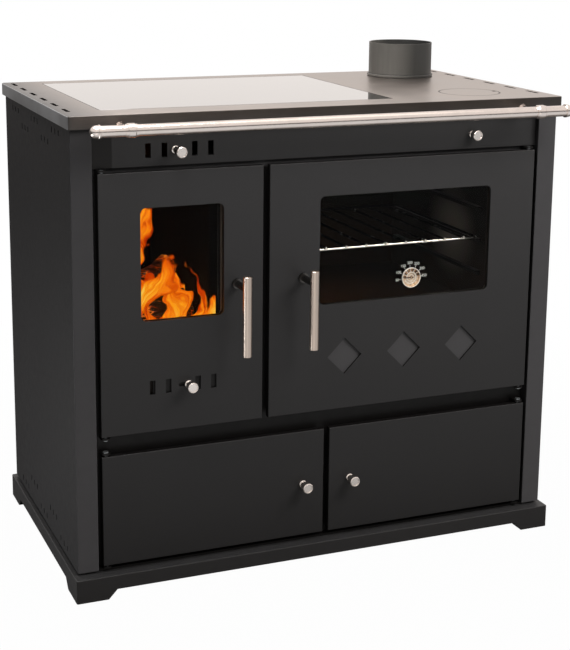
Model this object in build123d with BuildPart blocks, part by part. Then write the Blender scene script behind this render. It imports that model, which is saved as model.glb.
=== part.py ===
"""Wood cookstove: firebox and oven side by side under a steel hob, on a plinth with cut-out feet.

Millimetres.  X runs to the right, Y to the back and Z up.  The origin is on the floor, in the
middle of the whole stove's width and depth, and the doors face -Y.
"""
from build123d import *
import os

os.makedirs("parts", exist_ok=True)

# ---------------------------------------------------------------- driving dimensions
# Depths are first measured from the plinth's middle and then moved by y_shift, which puts the
# origin half way between the front of the towel rail and the back of the hob.
running_clearance = 0.05     # radial clearance of a pin or shaft that turns or slides
gap = 0.3                    # air between pieces that move past each other

body_width = 930.0
hob_side_overhang = 5.0
hob_height = 850.0
hob_width = body_width + 2 * hob_side_overhang
hob_depth = 531.0
hob_thickness = 4.0
hob_overhang = 11.5          # hob lip in front of the columns
hob_rear_overhang = 14.0
hob_corner_radius = 7.0
hob_edge_radius = 1.5
lip_height = 22.0
lip_thickness = 3.0

rail_setback = 63.0          # rail axis in front of the lip
rail_radius = 10.0
rail_end_inset = 20.0        # rail's end from the hob's side
rail_length = hob_width - 2 * rail_end_inset
rail_drop = 18.0             # rail axis below the hob surface
rail_ring_radius = 12.5
rail_ring_length = 14.0
rail_ring_inset = 68.0       # ring centre from the rail's end
rail_ring_collar = 1.2
rail_ring_collar_length = 3.0
rail_stud_radius = 4.5
rail_foot_radius = 7.5
rail_foot_length = 3.0
rail_cap_radius = 12.0
rail_cap_length = 17.0
rail_ball_radius = 11.2
rail_wall = 1.5
rail_socket = 4.0            # tube inside an end cap

y_shift = (rail_setback + rail_ring_radius) / 2
hob_front = -hob_depth / 2 + y_shift
hob_back = hob_front + hob_depth
hob_under = hob_height - hob_thickness

body_depth = hob_depth - hob_overhang - hob_rear_overhang
sheet = 2.0                  # outer sheet steel
bend_radius = 3.0            # outside radius of a folded edge
body_front = hob_front + hob_overhang
body_back = body_front + body_depth
column_width = 37.5
rear_flange = 20.0           # side panel's folded edge inside the back panel

plinth_side_ledge = 8.0
plinth_ledge = 20.5          # plinth in front of the columns
plinth_rear_ledge = 10.0
plinth_width = body_width + 2 * plinth_side_ledge
plinth_depth = body_depth + plinth_ledge + plinth_rear_ledge
plinth_height = 43.0
plinth_wall = 3.0
foot_length_x = 57.0
foot_length_y = 64.0
foot_notch_height = 17.0
foot_chamfer = 16.0
plinth_front = body_front - plinth_ledge
plinth_back = plinth_front + plinth_depth
plinth_middle = (plinth_front + plinth_back) / 2

floor_thickness = 4.0        # also the shadow gap between plinth and panels
floor_inset = 6.0
body_bottom = plinth_height + floor_thickness

frame_setback = 21.5         # front frame behind the columns' faces
frame_thickness = 3.0
frame_front = body_front + frame_setback
frame_back = frame_front + frame_thickness

fascia_setback = 11.5        # fascia behind the columns' faces
fascia_height = 93.5         # from the hob surface down
fascia_bottom = hob_height - fascia_height
fascia_front = body_front + fascia_setback

# doors
door_side_gap = 8.0          # between a column and a door
door_proud = 3.0             # door faces in front of the columns
door_plate = 4.0             # outer plate
door_depth = 12.0            # outer plate with its folded returns
door_return = 2.5            # thickness of the returns
door_edge_radius = 1.5
door_liner = 2.0             # inner plate that closes an upper door's back
upper_door_height = 460.0
upper_door_top_gap = 5.5     # under the fascia
lower_door_top_gap = 35.0    # between the two rows of doors
lower_door_bottom_gap = 8.0
upper_door_top = fascia_bottom - upper_door_top_gap
upper_door_bottom = upper_door_top - upper_door_height
lower_door_bottom = body_bottom + lower_door_bottom_gap
lower_door_top = upper_door_bottom - lower_door_top_gap
fire_door_width = 295.5
upper_door_gap = 12.0
lower_door_gap = 11.0
lower_door_shift = 3.5       # gap between the lower doors, right of the middle

door_front = body_front - door_proud
door_plate_back = door_front + door_plate
door_back = door_front + door_depth
liner_back = door_back + door_liner
door_outer_x = body_width / 2 - column_width - door_side_gap
fire_door_left = -door_outer_x
fire_door_right = fire_door_left + fire_door_width
oven_door_left = fire_door_right + upper_door_gap
oven_door_right = door_outer_x
lower_split_left = lower_door_shift - lower_door_gap / 2
lower_split_right = lower_split_left + lower_door_gap
fire_middle = (fire_door_left + fire_door_right) / 2
oven_trim_offset = 2.5       # window and diamonds right of the oven door's middle
oven_middle = (oven_door_left + oven_door_right) / 2 + oven_trim_offset

# hinges
pin_radius = 3.5
hinge_inset = 8.5            # pin axis from the door's outer edge
hinge_depth = 8.5            # pin axis behind the door's face
bush_radius = 5.5
bush_length = 12.0
tab_thickness = 3.0
tab_gap = 2.5                # between a door's edge and the bracket tab
tab_half_width = 8.0
tab_flange = 3.0
tab_flange_height = 16.0
pin_reach = 10.0             # pin inside the door
pin_head = 2.0               # pin end that shows past a middle tab
pin_head_radius = 5.0
hinge_y = door_front + hinge_depth
hinge_x = door_outer_x - hinge_inset

# windows
window_from_top = 62.0       # from the upper doors' top and bottom edges
window_from_bottom = 199.5
window_height = upper_door_height - window_from_top - window_from_bottom
window_bottom = upper_door_bottom + window_from_bottom
fire_window_margin = 72.75   # window from the door's side edges
oven_window_margin = 93.5
fire_window_width = fire_door_width - 2 * fire_window_margin
oven_window_width = oven_door_right - oven_door_left - 2 * oven_window_margin
window_radius = 10.0
glass_thickness = 4.0
glass_margin = 7.0           # glass hidden behind the plate
retainer_thickness = 3.0
retainer_margin = 7.0        # retainer outside the glass
retainer_lap = 6.0           # retainer over the glass's edge
retainer_screw_radius = 3.0
retainer_screw_head = 0.8
glass_back = door_plate_back + glass_thickness
retainer_back = glass_back + retainer_thickness
window_middle_z = window_bottom + window_height / 2

# rope gaskets
rope_width = 9.0
rope_depth = frame_front - liner_back - gap - 0.1
rope_corner = 20.0
rope_room = 3.0              # rope outside the mouth that it seals
rope_hinge_shift = 1.0       # fire door's rope nearer its mouth on the hinge side

# air slots, the same pattern in the fire door and in the fascia
slot_offsets = (-56.0, -27.0, 27.0, 56.0)
slot_width = 10.0
slot_height = 25.0
door_slot_rise = 81.0        # slots' middle above the door's bottom edge
fascia_slot_rise = 27.5      # above the fascia's bottom edge
door_slot_z = upper_door_bottom + door_slot_rise
fascia_slot_z = fascia_bottom + fascia_slot_rise
slider_thickness = 2.0
slider_travel = 14.0
slider_height = 33.0
slider_end = 12.0            # slider past its outermost slot
guide_height = 5.0
guide_lap = 3.0
stud_radius = 3.0
stud_slot_height = 7.0
door_knob_offset = 9.0       # knob right of the fire door's middle
fascia_knob_offset = -8.0

# knobs
knob_length = 28.0
fascia_knob_length = 39.0
damper_knob_length = 23.0
knob_radius = 9.5
knob_neck_radius = 5.5
knob_base_radius = 7.0
knob_base_length = 3.0
knob_head_length = 14.0
knob_dish = 1.5              # hollow in the knob's face
knob_rim = 2.0
knob_chamfer = 1.0
stud_depth = 8.5             # stud inside its knob
lower_knob_inset = 41.5
lower_knob_z = (lower_door_bottom + lower_door_top) / 2

# bar handles
bar_radius = 8.0
bar_length = 143.0
bar_rise = 134.5             # bar's lower end above the door's bottom edge
bar_bottom = upper_door_bottom + bar_rise
bar_standoff = 52.5          # bar axis in front of the door's face
bar_chamfer = 1.0
spindle_radius = 6.0
spindle_from_top = 24.0
spindle_collar_radius = 9.0
spindle_collar_length = 4.0
fire_handle_inset = 49.0
oven_handle_inset = 64.5
pawl_reach = 26.0
pawl_width = 11.0
pawl_thickness = 4.0
latch_slot_width = 23.0
latch_slot_room = 4.0        # slot past the pawl's tip
bar_y = door_front - bar_standoff
spindle_z = bar_bottom + bar_length - spindle_from_top
fire_handle_x = fire_door_right - fire_handle_inset
oven_handle_x = oven_door_left + oven_handle_inset

# diamonds in the oven door
diamond_half = 34.0
diamond_pitch = 120.0
diamond_rise = 100.0         # middle above the door's bottom edge
diamond_z = upper_door_bottom + diamond_rise
diamond_backing_thickness = 2.0
diamond_backing_margin = 15.0

# thermometer in the oven window
dial_radius = 18.5
dial_rim = 2.0
dial_depth = 3.8
dial_plate = 1.0
dial_offset_x = 12.5
dial_offset_z = 35.5
dial_stem_radius = 4.0
dial_stem_length = 12.0
needle_length = 14.0
needle_tail = 5.0
needle_width = 1.8
needle_thickness = 0.6
needle_hub_radius = 2.2
arbor_radius = 1.0
dial_x = oven_middle + dial_offset_x
dial_z = window_bottom + dial_offset_z

# openings in the front frame
ash_floor_rise = 31.0        # above the upper doors' bottom edge
ash_floor_top = upper_door_bottom + ash_floor_rise
fire_mouth_inset = 21.5      # from the fire door's hinge edge
ash_mouth_inset = 41.5
firebox_outset = 12.5
firebox_free_edge = 63.0     # firebox from the fire door's free edge
fire_mouth_rise = 161.0
fire_mouth_drop = 37.0
fire_mouth_right_inset = 76.0
ash_mouth_right_inset = 84.0
ash_mouth_height = 104.0
fire_mouth_left = fire_door_left + fire_mouth_inset
fire_mouth_width = fire_door_width - fire_mouth_inset - fire_mouth_right_inset
fire_mouth_bottom = upper_door_bottom + fire_mouth_rise
fire_mouth_top = upper_door_top - fire_mouth_drop
ash_mouth_left = fire_door_left + ash_mouth_inset
ash_mouth_width = fire_door_width - ash_mouth_inset - ash_mouth_right_inset
ash_mouth_bottom = ash_floor_top
ash_mouth_top = ash_mouth_bottom + ash_mouth_height
oven_left_margin = 92.0      # oven wall from the oven door's free edge
oven_right_margin = 79.5
oven_left = oven_door_left + oven_left_margin
oven_width = oven_door_right - oven_right_margin - oven_left
oven_rise = 159.0            # oven floor above the door's bottom edge
oven_drop = 41.0             # oven roof below the door's top edge
oven_bottom = upper_door_bottom + oven_rise
oven_top = upper_door_top - oven_drop
oven_depth = 400.0
oven_sheet = 2.0
lower_mouth_rise = 20.0
lower_mouth_drop = 18.0
lower_mouth_bottom = lower_door_bottom + lower_mouth_rise
lower_mouth_top = lower_door_top - lower_mouth_drop
lower_mouth_margin = 25.0    # frame left round the lower mouths
mouth_radius = 6.0

# inside
deck_drop = 23.0             # deck's underside below the upper doors
deck_bottom = upper_door_bottom - deck_drop
deck_thickness = 3.0
deck_top = deck_bottom + deck_thickness
casing_offset = 20.0         # inner casing inside the body's sides
casing_thickness = 2.5
casing_rear_gap = 3.0
firebox_wall = 3.0
firebox_left = fire_door_left - firebox_outset
firebox_width = fire_door_width + firebox_outset - firebox_free_edge
firebox_depth = 373.0
firebox_drop = 11.0          # firebox's top edge below the door's top edge
firebox_top = upper_door_top - firebox_drop
hearth_thickness = 4.0
hearth_drop = 11.0           # hearth plate below the fire mouth
hearth_top = fire_mouth_bottom - hearth_drop
brick_thickness = 25.0
brick_top_gap = 44.0         # bricks' top below the firebox's top edge
brick_height = firebox_top - hearth_top - brick_top_gap
brick_joint = 1.0
grate_side_margin = 42.5     # grate from the firebox's outer sides
grate_width = firebox_width - 2 * grate_side_margin
grate_depth = 260.0
grate_thickness = 12.0
grate_slot_width = 9.0
grate_slot_count = 8
grate_rim = 12.0
grate_front_gap = 40.0
grate_ledge = 10.0
firebox_right = firebox_left + firebox_width
firebox_rear = frame_back + firebox_depth
ash_pan_height = 58.0
ash_pan_depth = 290.0
ash_pan_wall = 1.5
ash_pan_side_gap = 7.0
ash_pan_front_gap = 9.0
ash_pan_grip = 4.0
ash_pan_grip_width = 60.0
divider_x = (lower_split_left + lower_split_right) / 2

# oven rack and runners
rack_wire = 2.5
rack_bar = 2.2
rack_corner = 8.0
rack_weld = 0.5              # how far a bar is sunk in the outline wire
rack_side_gap = 5.0
rack_front_gap = 24.0
rack_depth = 350.0
rack_bar_count = 8
rack_bar_margin = 33.0       # outer bars from the rack's sides
rack_bar_overhang = 3.0
runner_width = 10.0
runner_thickness = 2.0
runner_rise = 126.5          # rack's runners above the oven floor
runner_level = oven_bottom + runner_rise
runner_pitch = 62.0

# hob fittings
glass_left_margin = 72.0
glass_front_margin = 66.5
glass_back_margin = 43.5
plain_hob_width = 321.0      # hob plate to the right of the glass
hob_glass_width = hob_width - glass_left_margin - plain_hob_width
hob_glass_depth = hob_depth - glass_front_margin - glass_back_margin
hob_glass_gap = 1.5
seat_lap = 10.0              # seat ledge under the hob glass or the lid
seat_width = 8.0             # seat ledge under the hob plate
seat_thickness = 4.0
lid_radius = 58.0
lid_gap = 0.6
lid_notch_length = 9.0
lid_notch_width = 8.0
lid_notch_depth = 2.2
lid_from_right = 135.0
lid_from_front = 114.0
flue_radius = 65.0
flue_wall = 2.0
flue_height = 70.0
flue_hole_radius = 58.0
flue_bore_radius = 54.0
flue_flange_radius = 68.0
flue_flange_height = 4.0
flue_flange_edge = 1.0       # bevel round the flange's top
flue_neck_step = 1.0         # how much narrower the pipe is where it sits in the collar
flue_neck_height = 7.0
flue_seat = 1.0              # pipe's lower end above the hob surface
flue_foot_radius = 66.0
flue_foot_height = 2.0
flue_from_right = 124.5
flue_from_back = 102.0
hob_slot_length = 41.0
hob_slot_width = 7.0
hob_slot_count = 6
hob_slot_pitch = 81.6
hob_slot_edge = 17.0
hob_slot_from_back = 42.0
lid_x = hob_width / 2 - lid_from_right
lid_y = hob_front + lid_from_front
flue_x = hob_width / 2 - flue_from_right
flue_y = hob_back - flue_from_back
flue_neck_radius = flue_radius - flue_neck_step

# side vents: groups of three slots in two staggered rows at the top and two at the bottom
vent_width = 5.0
vent_height = 11.0
vent_pitch = 24.5
vent_group_pitch = 157.5
vent_wide_count = 3
vent_narrow_count = 2
upper_vent_drop = 39.0       # outer row from the hob surface
lower_vent_rise = 16.0       # outer row from the body's bottom edge
upper_vent_step = 25.0
lower_vent_step = 28.0
vent_rows = ((hob_height - upper_vent_drop, vent_wide_count),
             (hob_height - upper_vent_drop - upper_vent_step, vent_narrow_count),
             (body_bottom + lower_vent_rise + lower_vent_step, vent_narrow_count),
             (body_bottom + lower_vent_rise, vent_wide_count))
vent_middle_y = (body_front + body_back) / 2 + 5.0
rear_vent_rise = 103.0
rear_vent_drop = 60.0
rear_vent_rows = (body_bottom + rear_vent_rise, hob_height - rear_vent_drop)
rear_vent_pitch = 60.0
rear_vent_count = 9
rear_vent_length = 40.0

# bypass damper
damper_inset = 126.5         # rod from the oven door's hinge edge
damper_x = oven_door_right - damper_inset
damper_rod_radius = 4.0
damper_plate_width = 90.0
damper_plate_height = 80.0
damper_plate_thickness = 4.0
damper_hole_lap = 10.0
flue_wall_left = 105.5       # flue chamber's walls from the pipe's middle
flue_wall_front = 75.0
flue_wall_x = flue_x - flue_wall_left
flue_wall_y = flue_y - flue_wall_front
flue_wall_thickness = 2.5

# screws
screw_radius = 4.5
screw_head = 2.2
screw_inset = 11.0
back_screw_count = 4         # in each of two columns

magnet_width = 24.0
magnet_height = 14.0


# ---------------------------------------------------------------- helpers
def front_plane(y):
    """Sketch plane at depth y that faces the front: local x is X, local y is Z."""
    return Plane(origin=(0, y, 0), x_dir=(1, 0, 0), z_dir=(0, -1, 0))


def side_plane(x):
    """Sketch plane at x that faces right: local x is Y, local y is Z."""
    return Plane(origin=(x, 0, 0), x_dir=(0, 1, 0), z_dir=(1, 0, 0))


def block(x, y, z, mode=Mode.ADD):
    """Box between two opposite corners; each argument is a (low, high) pair."""
    with Locations(((x[0] + x[1]) / 2, (y[0] + y[1]) / 2, (z[0] + z[1]) / 2)):
        Box(x[1] - x[0], y[1] - y[0], z[1] - z[0], mode=mode)


def rod_y(x, z, y, radius, mode=Mode.ADD):
    """Round bar along Y from y[0] to y[1]."""
    with Locations((x, (y[0] + y[1]) / 2, z)):
        Cylinder(radius, y[1] - y[0], rotation=(90, 0, 0), mode=mode)


def rod_z(x, y, z, radius, mode=Mode.ADD):
    """Round bar along Z from z[0] to z[1]."""
    with Locations((x, y, (z[0] + z[1]) / 2)):
        Cylinder(radius, z[1] - z[0], mode=mode)


def panel(low, high, radius=0.0, mode=Mode.ADD):
    """Rectangle in a sketch between two opposite corners, with rounded corners if asked."""
    width = high[0] - low[0]
    height = high[1] - low[1]
    with Locations(((low[0] + high[0]) / 2, (low[1] + high[1]) / 2)):
        if radius:
            RectangleRounded(width, height, radius, mode=mode)
        else:
            Rectangle(width, height, mode=mode)


def slots(middle_x, z, mode=Mode.SUBTRACT):
    """The row of four upright air slots in a sketch, about middle_x."""
    with Locations([(middle_x + offset, z) for offset in slot_offsets]):
        Rectangle(slot_width, slot_height, mode=mode)


def save(piece, name):
    """Label a finished piece and write its file."""
    piece.part.label = name
    export_step(piece.part, f"parts/{name}.step")


# ---------------------------------------------------------------- plinth and body
with BuildPart() as base_plinth:
    half_width = plinth_width / 2
    half_depth = plinth_depth / 2
    with Locations((0, plinth_middle, plinth_height / 2)):
        Box(plinth_width, plinth_depth, plinth_height)
    fillet(base_plinth.edges().filter_by(Axis.Z), bend_radius)
    fillet(base_plinth.faces().sort_by(Axis.Z)[-1].edges(), door_edge_radius)
    with Locations((0, plinth_middle, plinth_height / 2)):
        Box(plinth_width - 2 * plinth_wall, plinth_depth - 2 * plinth_wall,
            plinth_height - 2 * plinth_wall, mode=Mode.SUBTRACT)
    # cut-outs between the corner feet, with slanted ends
    with BuildSketch(front_plane(plinth_front - 1)):
        foot_inner = half_width - foot_length_x
        with BuildLine():
            Polyline((-foot_inner, 0), (-foot_inner + foot_chamfer, foot_notch_height),
                     (foot_inner - foot_chamfer, foot_notch_height), (foot_inner, 0), close=True)
        make_face()
    extrude(amount=-(plinth_depth + 2), mode=Mode.SUBTRACT)
    with BuildSketch(side_plane(-half_width - 1)):
        foot_inner = half_depth - foot_length_y
        with BuildLine():
            Polyline((plinth_middle - foot_inner, 0),
                     (plinth_middle - foot_inner + foot_chamfer, foot_notch_height),
                     (plinth_middle + foot_inner - foot_chamfer, foot_notch_height),
                     (plinth_middle + foot_inner, 0), close=True)
        make_face()
    extrude(amount=plinth_width + 2, mode=Mode.SUBTRACT)
save(base_plinth, "base_plinth")

with BuildPart() as body_floor:
    block((-body_width / 2 + floor_inset, body_width / 2 - floor_inset),
          (body_front + floor_inset, body_back - floor_inset), (plinth_height, body_bottom))
save(body_floor, "body_floor")


def side_profile(side):
    """Sheet profile of a side panel: column face, return, side and rear flange, seen from above."""
    outer = side * body_width / 2
    inner = side * (body_width / 2 - column_width)
    step = side * sheet
    rear = body_back - sheet
    flange = side * rear_flange
    return [(inner, frame_back), (inner, body_front), (outer, body_front), (outer, rear),
            (outer - flange, rear), (outer - flange, rear - sheet), (outer - step, rear - sheet),
            (outer - step, body_front + sheet), (inner + step, body_front + sheet),
            (inner + step, frame_back)]


for name, side in (("left_side_panel", -1), ("right_side_panel", 1)):
    with BuildPart() as side_panel:
        with BuildSketch(Plane.XY.offset(body_bottom)):
            with BuildLine():
                Polyline(*side_profile(side), close=True)
            make_face()
        extrude(amount=hob_under - body_bottom)
        corner = side_panel.edges().filter_by(Axis.Z).filter_by_position(
            Axis.Y, body_front - 0.1, body_front + 0.1)
        fillet(corner, bend_radius / 2)
        with BuildSketch(side_plane(side * body_width / 2)):
            for row_z, groups in vent_rows:
                with Locations((vent_middle_y, row_z)):
                    with GridLocations(vent_group_pitch, 0, groups, 1):
                        with GridLocations(vent_pitch, 0, 3, 1):
                            RectangleRounded(vent_width, vent_height, vent_width / 2 - 0.1)
        extrude(amount=2 * sheet, both=True, mode=Mode.SUBTRACT)
    save(side_panel, name)

with BuildPart() as back_panel:
    with BuildSketch(front_plane(body_back)):
        panel((-body_width / 2, body_bottom), (body_width / 2, hob_under))
        for row_z in rear_vent_rows:
            with Locations((0, row_z)):
                with GridLocations(rear_vent_pitch, 0, rear_vent_count, 1):
                    SlotOverall(rear_vent_length, vent_width, mode=Mode.SUBTRACT)
    extrude(amount=sheet)
save(back_panel, "back_panel")

with BuildPart() as back_screws:
    row_pitch = (hob_under - body_bottom - 2 * screw_inset) / (back_screw_count - 1)
    with Locations((0, 0, (hob_under + body_bottom) / 2)):
        with GridLocations(body_width - 2 * screw_inset, 1, 2, 1):
            with Locations([(0, body_back + screw_head / 2,
                             (row - (back_screw_count - 1) / 2) * row_pitch)
                            for row in range(back_screw_count)]):
                Cylinder(screw_radius, screw_head, rotation=(90, 0, 0))
save(back_screws, "back_screws")

# ---------------------------------------------------------------- front frame and fascia
frame_half = body_width / 2 - column_width
fire_mouth = ((fire_mouth_left, fire_mouth_bottom),
              (fire_mouth_left + fire_mouth_width, fire_mouth_top))
ash_mouth = ((ash_mouth_left, ash_mouth_bottom),
             (ash_mouth_left + ash_mouth_width, ash_mouth_top))
oven_mouth = ((oven_left, oven_bottom), (oven_left + oven_width, oven_top))
lower_left_mouth = ((-frame_half + lower_mouth_margin + door_side_gap, lower_mouth_bottom),
                    (lower_split_left - lower_mouth_margin, lower_mouth_top))
lower_right_mouth = ((lower_split_right + lower_mouth_margin, lower_mouth_bottom),
                     (frame_half - lower_mouth_margin - door_side_gap, lower_mouth_top))
air_inlet = ((fire_middle + slot_offsets[0] - slider_end, fascia_slot_z - slot_height / 2),
             (fire_middle + slot_offsets[-1] + slider_end, fascia_slot_z + slot_height / 2))

with BuildPart() as front_frame:
    with BuildSketch(front_plane(frame_back)):
        panel((-frame_half, body_bottom), (frame_half, hob_under))
        for mouth in (fire_mouth, ash_mouth, oven_mouth, lower_left_mouth, lower_right_mouth,
                      air_inlet):
            panel(*mouth, radius=mouth_radius, mode=Mode.SUBTRACT)
        # keeper slots that the latch pawls pass through
        for handle_x in (fire_handle_x, oven_handle_x):
            panel((handle_x - latch_slot_width / 2, spindle_z - latch_slot_width / 2),
                  (handle_x + latch_slot_width / 2, spindle_z + pawl_reach + latch_slot_room),
                  radius=mouth_radius, mode=Mode.SUBTRACT)
        with Locations((damper_x, fascia_slot_z)):
            Circle(damper_rod_radius + running_clearance, mode=Mode.SUBTRACT)
    extrude(amount=frame_thickness)
save(front_frame, "front_frame")

fascia_low = (-frame_half, fascia_bottom)
fascia_high = (frame_half, hob_under)
door_stud_x = fire_middle + door_knob_offset
fascia_stud_x = fire_middle + fascia_knob_offset
fascia_plate_back = fascia_front + sheet


def guide_rails(middle_x, z, plate_back, travel):
    """Two folded strips that hold a slider against the back of its plate."""
    half = slot_offsets[-1] + slider_end + abs(travel)
    for direction in (-1, 1):
        edge = z + direction * (slider_height / 2 + gap)
        outer = edge + direction * guide_height
        lip = edge - direction * guide_lap
        front = (plate_back, plate_back + slider_thickness + 2 * gap)
        back = (front[1], front[1] + sheet)
        block((middle_x - half, middle_x + half), front, sorted((edge, outer)))
        block((middle_x - half, middle_x + half), back, sorted((lip, outer)))


with BuildPart() as fascia_panel:
    with BuildSketch(front_plane(frame_front)):
        panel(fascia_low, fascia_high)
    extrude(amount=frame_front - fascia_front)
    fillet(fascia_panel.faces().sort_by(Axis.Y)[0].edges().sort_by(Axis.Z)[0], door_edge_radius)
    with BuildSketch(front_plane(frame_front)):
        panel((fascia_low[0] + sheet, fascia_low[1] + sheet),
              (fascia_high[0] - sheet, fascia_high[1] - sheet))
    extrude(amount=frame_front - fascia_plate_back, mode=Mode.SUBTRACT)
    guide_rails(fire_middle, fascia_slot_z, fascia_plate_back, slider_travel)
    with BuildSketch(front_plane(fascia_plate_back)):
        slots(fire_middle, fascia_slot_z, mode=Mode.ADD)
        with Locations((fascia_stud_x + slider_travel / 2, fascia_slot_z)):
            SlotOverall(slider_travel + stud_slot_height, stud_slot_height)
        with Locations((damper_x, fascia_slot_z)):
            Circle(damper_rod_radius + running_clearance)
    extrude(amount=sheet, mode=Mode.SUBTRACT)
save(fascia_panel, "fascia_panel")


def air_slider(plate_back, face_y, z, stud_x, shift):
    """Plate that slides behind plate_back, with the same four slots moved by shift.

    Its stud passes through the slot in the face at face_y and ends inside the knob.
    """
    plate = (plate_back + gap, plate_back + gap + slider_thickness)
    middle = fire_middle + shift
    with BuildPart() as slider:
        with BuildSketch(front_plane(plate[1])):
            panel((middle + slot_offsets[0] - slider_end, z - slider_height / 2),
                  (middle + slot_offsets[-1] + slider_end, z + slider_height / 2), radius=1.0)
            slots(middle, z)
        extrude(amount=slider_thickness)
        rod_y(stud_x, z, (face_y - gap - stud_depth, plate[0]), stud_radius)
    return slider


save(air_slider(door_plate_back, door_front, door_slot_z, door_stud_x, slider_travel),
     "fire_door_air_slider")
save(air_slider(fascia_plate_back, fascia_front, fascia_slot_z, fascia_stud_x, 0.0),
     "fascia_air_slider")


def make_knob(x, base_y, z, bore_radius=0.0, length=knob_length):
    """Turned knob on the axis (x, z), standing forward from base_y, with a blind bore if asked."""
    with BuildPart() as knob:
        with BuildSketch(Plane(origin=(x, base_y, z), x_dir=(1, 0, 0), z_dir=(0, 0, 1))):
            front = -length
            with BuildLine():
                Polyline((0, 0), (knob_base_radius, 0), (knob_base_radius, -knob_base_length),
                         (knob_neck_radius, -knob_base_length - knob_chamfer),
                         (knob_neck_radius, front + knob_head_length + knob_chamfer),
                         (knob_radius - knob_chamfer, front + knob_head_length),
                         (knob_radius, front + knob_head_length - knob_chamfer),
                         (knob_radius, front + knob_chamfer), (knob_radius - knob_chamfer, front),
                         (knob_radius - knob_rim, front),
                         (knob_radius - knob_rim - 0.5, front + knob_dish),
                         (0, front + knob_dish), close=True)
            make_face()
        revolve(axis=Axis((x, base_y, z), (0, 1, 0)))
        if bore_radius:
            rod_y(x, z, (base_y - stud_depth, base_y), bore_radius, mode=Mode.SUBTRACT)
    return knob


save(make_knob(door_stud_x, door_front - gap, door_slot_z, stud_radius), "fire_door_air_knob")
save(make_knob(fascia_stud_x, fascia_front - gap, fascia_slot_z, stud_radius, fascia_knob_length),
     "fascia_air_knob")

# ---------------------------------------------------------------- hinges
# each end of a door's edge: its z, the direction away from the door, and whether the pin's head shows
hinge_ends = ((upper_door_bottom, -1, True), (upper_door_top, 1, False),
              (lower_door_bottom, -1, False), (lower_door_top, 1, True))

with BuildPart() as hinge_brackets:
    for x in (-hinge_x, hinge_x):
        for edge_z, away, headed in hinge_ends:
            near = edge_z + away * tab_gap
            tab = sorted((near, near + away * tab_thickness))
            flange = sorted((tab[1] if away > 0 else tab[0], near - away * tab_flange_height))
            tab_x = (x - tab_half_width, x + tab_half_width)
            block(tab_x, (hinge_y, frame_front), tab)
            rod_z(x, hinge_y, tab, tab_half_width)
            block(tab_x, (frame_front - tab_flange, frame_front), flange)
            rod_z(x, hinge_y, (tab[0] - 1, tab[1] + 1), pin_radius, mode=Mode.SUBTRACT)
save(hinge_brackets, "hinge_brackets")

with BuildPart() as hinge_pins:
    for x in (-hinge_x, hinge_x):
        for edge_z, away, headed in hinge_ends:
            outer = edge_z + away * (tab_gap + tab_thickness)
            rod_z(x, hinge_y, sorted((edge_z - away * pin_reach, outer)), pin_radius)
            if headed:
                rod_z(x, hinge_y, sorted((outer, outer + away * pin_head)), pin_head_radius)
save(hinge_pins, "hinge_pins")


# ---------------------------------------------------------------- doors
def door_pan(door, x, z, hinge_side):
    """Plate with folded returns and two hinge bushes, added to the part that door builds."""
    block(x, (door_front, door_back), z)
    fillet(door.faces().sort_by(Axis.Y)[0].edges(), door_edge_radius)
    block((x[0] + door_return, x[1] - door_return), (door_plate_back, door_back),
          (z[0] + door_return, z[1] - door_return), mode=Mode.SUBTRACT)
    axis_x = x[0] + hinge_inset if hinge_side < 0 else x[1] - hinge_inset
    for low, high in ((z[0], z[0] + bush_length), (z[1] - bush_length, z[1])):
        rod_z(axis_x, hinge_y, (low, high), bush_radius)
        rod_z(axis_x, hinge_y, (low - 1, high + 1), pin_radius + running_clearance,
              mode=Mode.SUBTRACT)


upper_z = (upper_door_bottom, upper_door_top)
lower_z = (lower_door_bottom, lower_door_top)

with BuildPart() as fire_door_panel:
    door_pan(fire_door_panel, (fire_door_left, fire_door_right), upper_z, -1)
    guide_rails(fire_middle, door_slot_z, door_plate_back, slider_travel)
    with BuildSketch(front_plane(door_plate_back)):
        panel((fire_middle - fire_window_width / 2, window_bottom),
              (fire_middle + fire_window_width / 2, window_bottom + window_height), window_radius)
        slots(fire_middle, door_slot_z, mode=Mode.ADD)
        with Locations((door_stud_x - slider_travel / 2, door_slot_z)):
            SlotOverall(slider_travel + stud_slot_height, stud_slot_height)
        with Locations((fire_handle_x, spindle_z)):
            Circle(spindle_radius + running_clearance)
    extrude(amount=door_plate, mode=Mode.SUBTRACT)
save(fire_door_panel, "fire_door_panel")

with BuildPart() as oven_door_panel:
    door_pan(oven_door_panel, (oven_door_left, oven_door_right), upper_z, 1)
    with BuildSketch(front_plane(door_plate_back)):
        panel((oven_middle - oven_window_width / 2, window_bottom),
              (oven_middle + oven_window_width / 2, window_bottom + window_height), window_radius)
        with Locations((oven_middle, diamond_z)):
            with GridLocations(diamond_pitch, 0, 3, 1):
                Rectangle(diamond_half * 2 ** 0.5, diamond_half * 2 ** 0.5, rotation=45)
        with Locations((oven_handle_x, spindle_z)):
            Circle(spindle_radius + running_clearance)
    extrude(amount=door_plate, mode=Mode.SUBTRACT)
save(oven_door_panel, "oven_door_panel")

with BuildPart() as diamond_backing:
    with BuildSketch(front_plane(door_plate_back + diamond_backing_thickness)):
        reach = diamond_pitch + diamond_half + diamond_backing_margin
        rise = diamond_half + diamond_backing_margin
        panel((oven_middle - reach, diamond_z - rise), (oven_middle + reach, diamond_z + rise), 4.0)
    extrude(amount=diamond_backing_thickness)
save(diamond_backing, "oven_door_diamond_backing")


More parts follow.
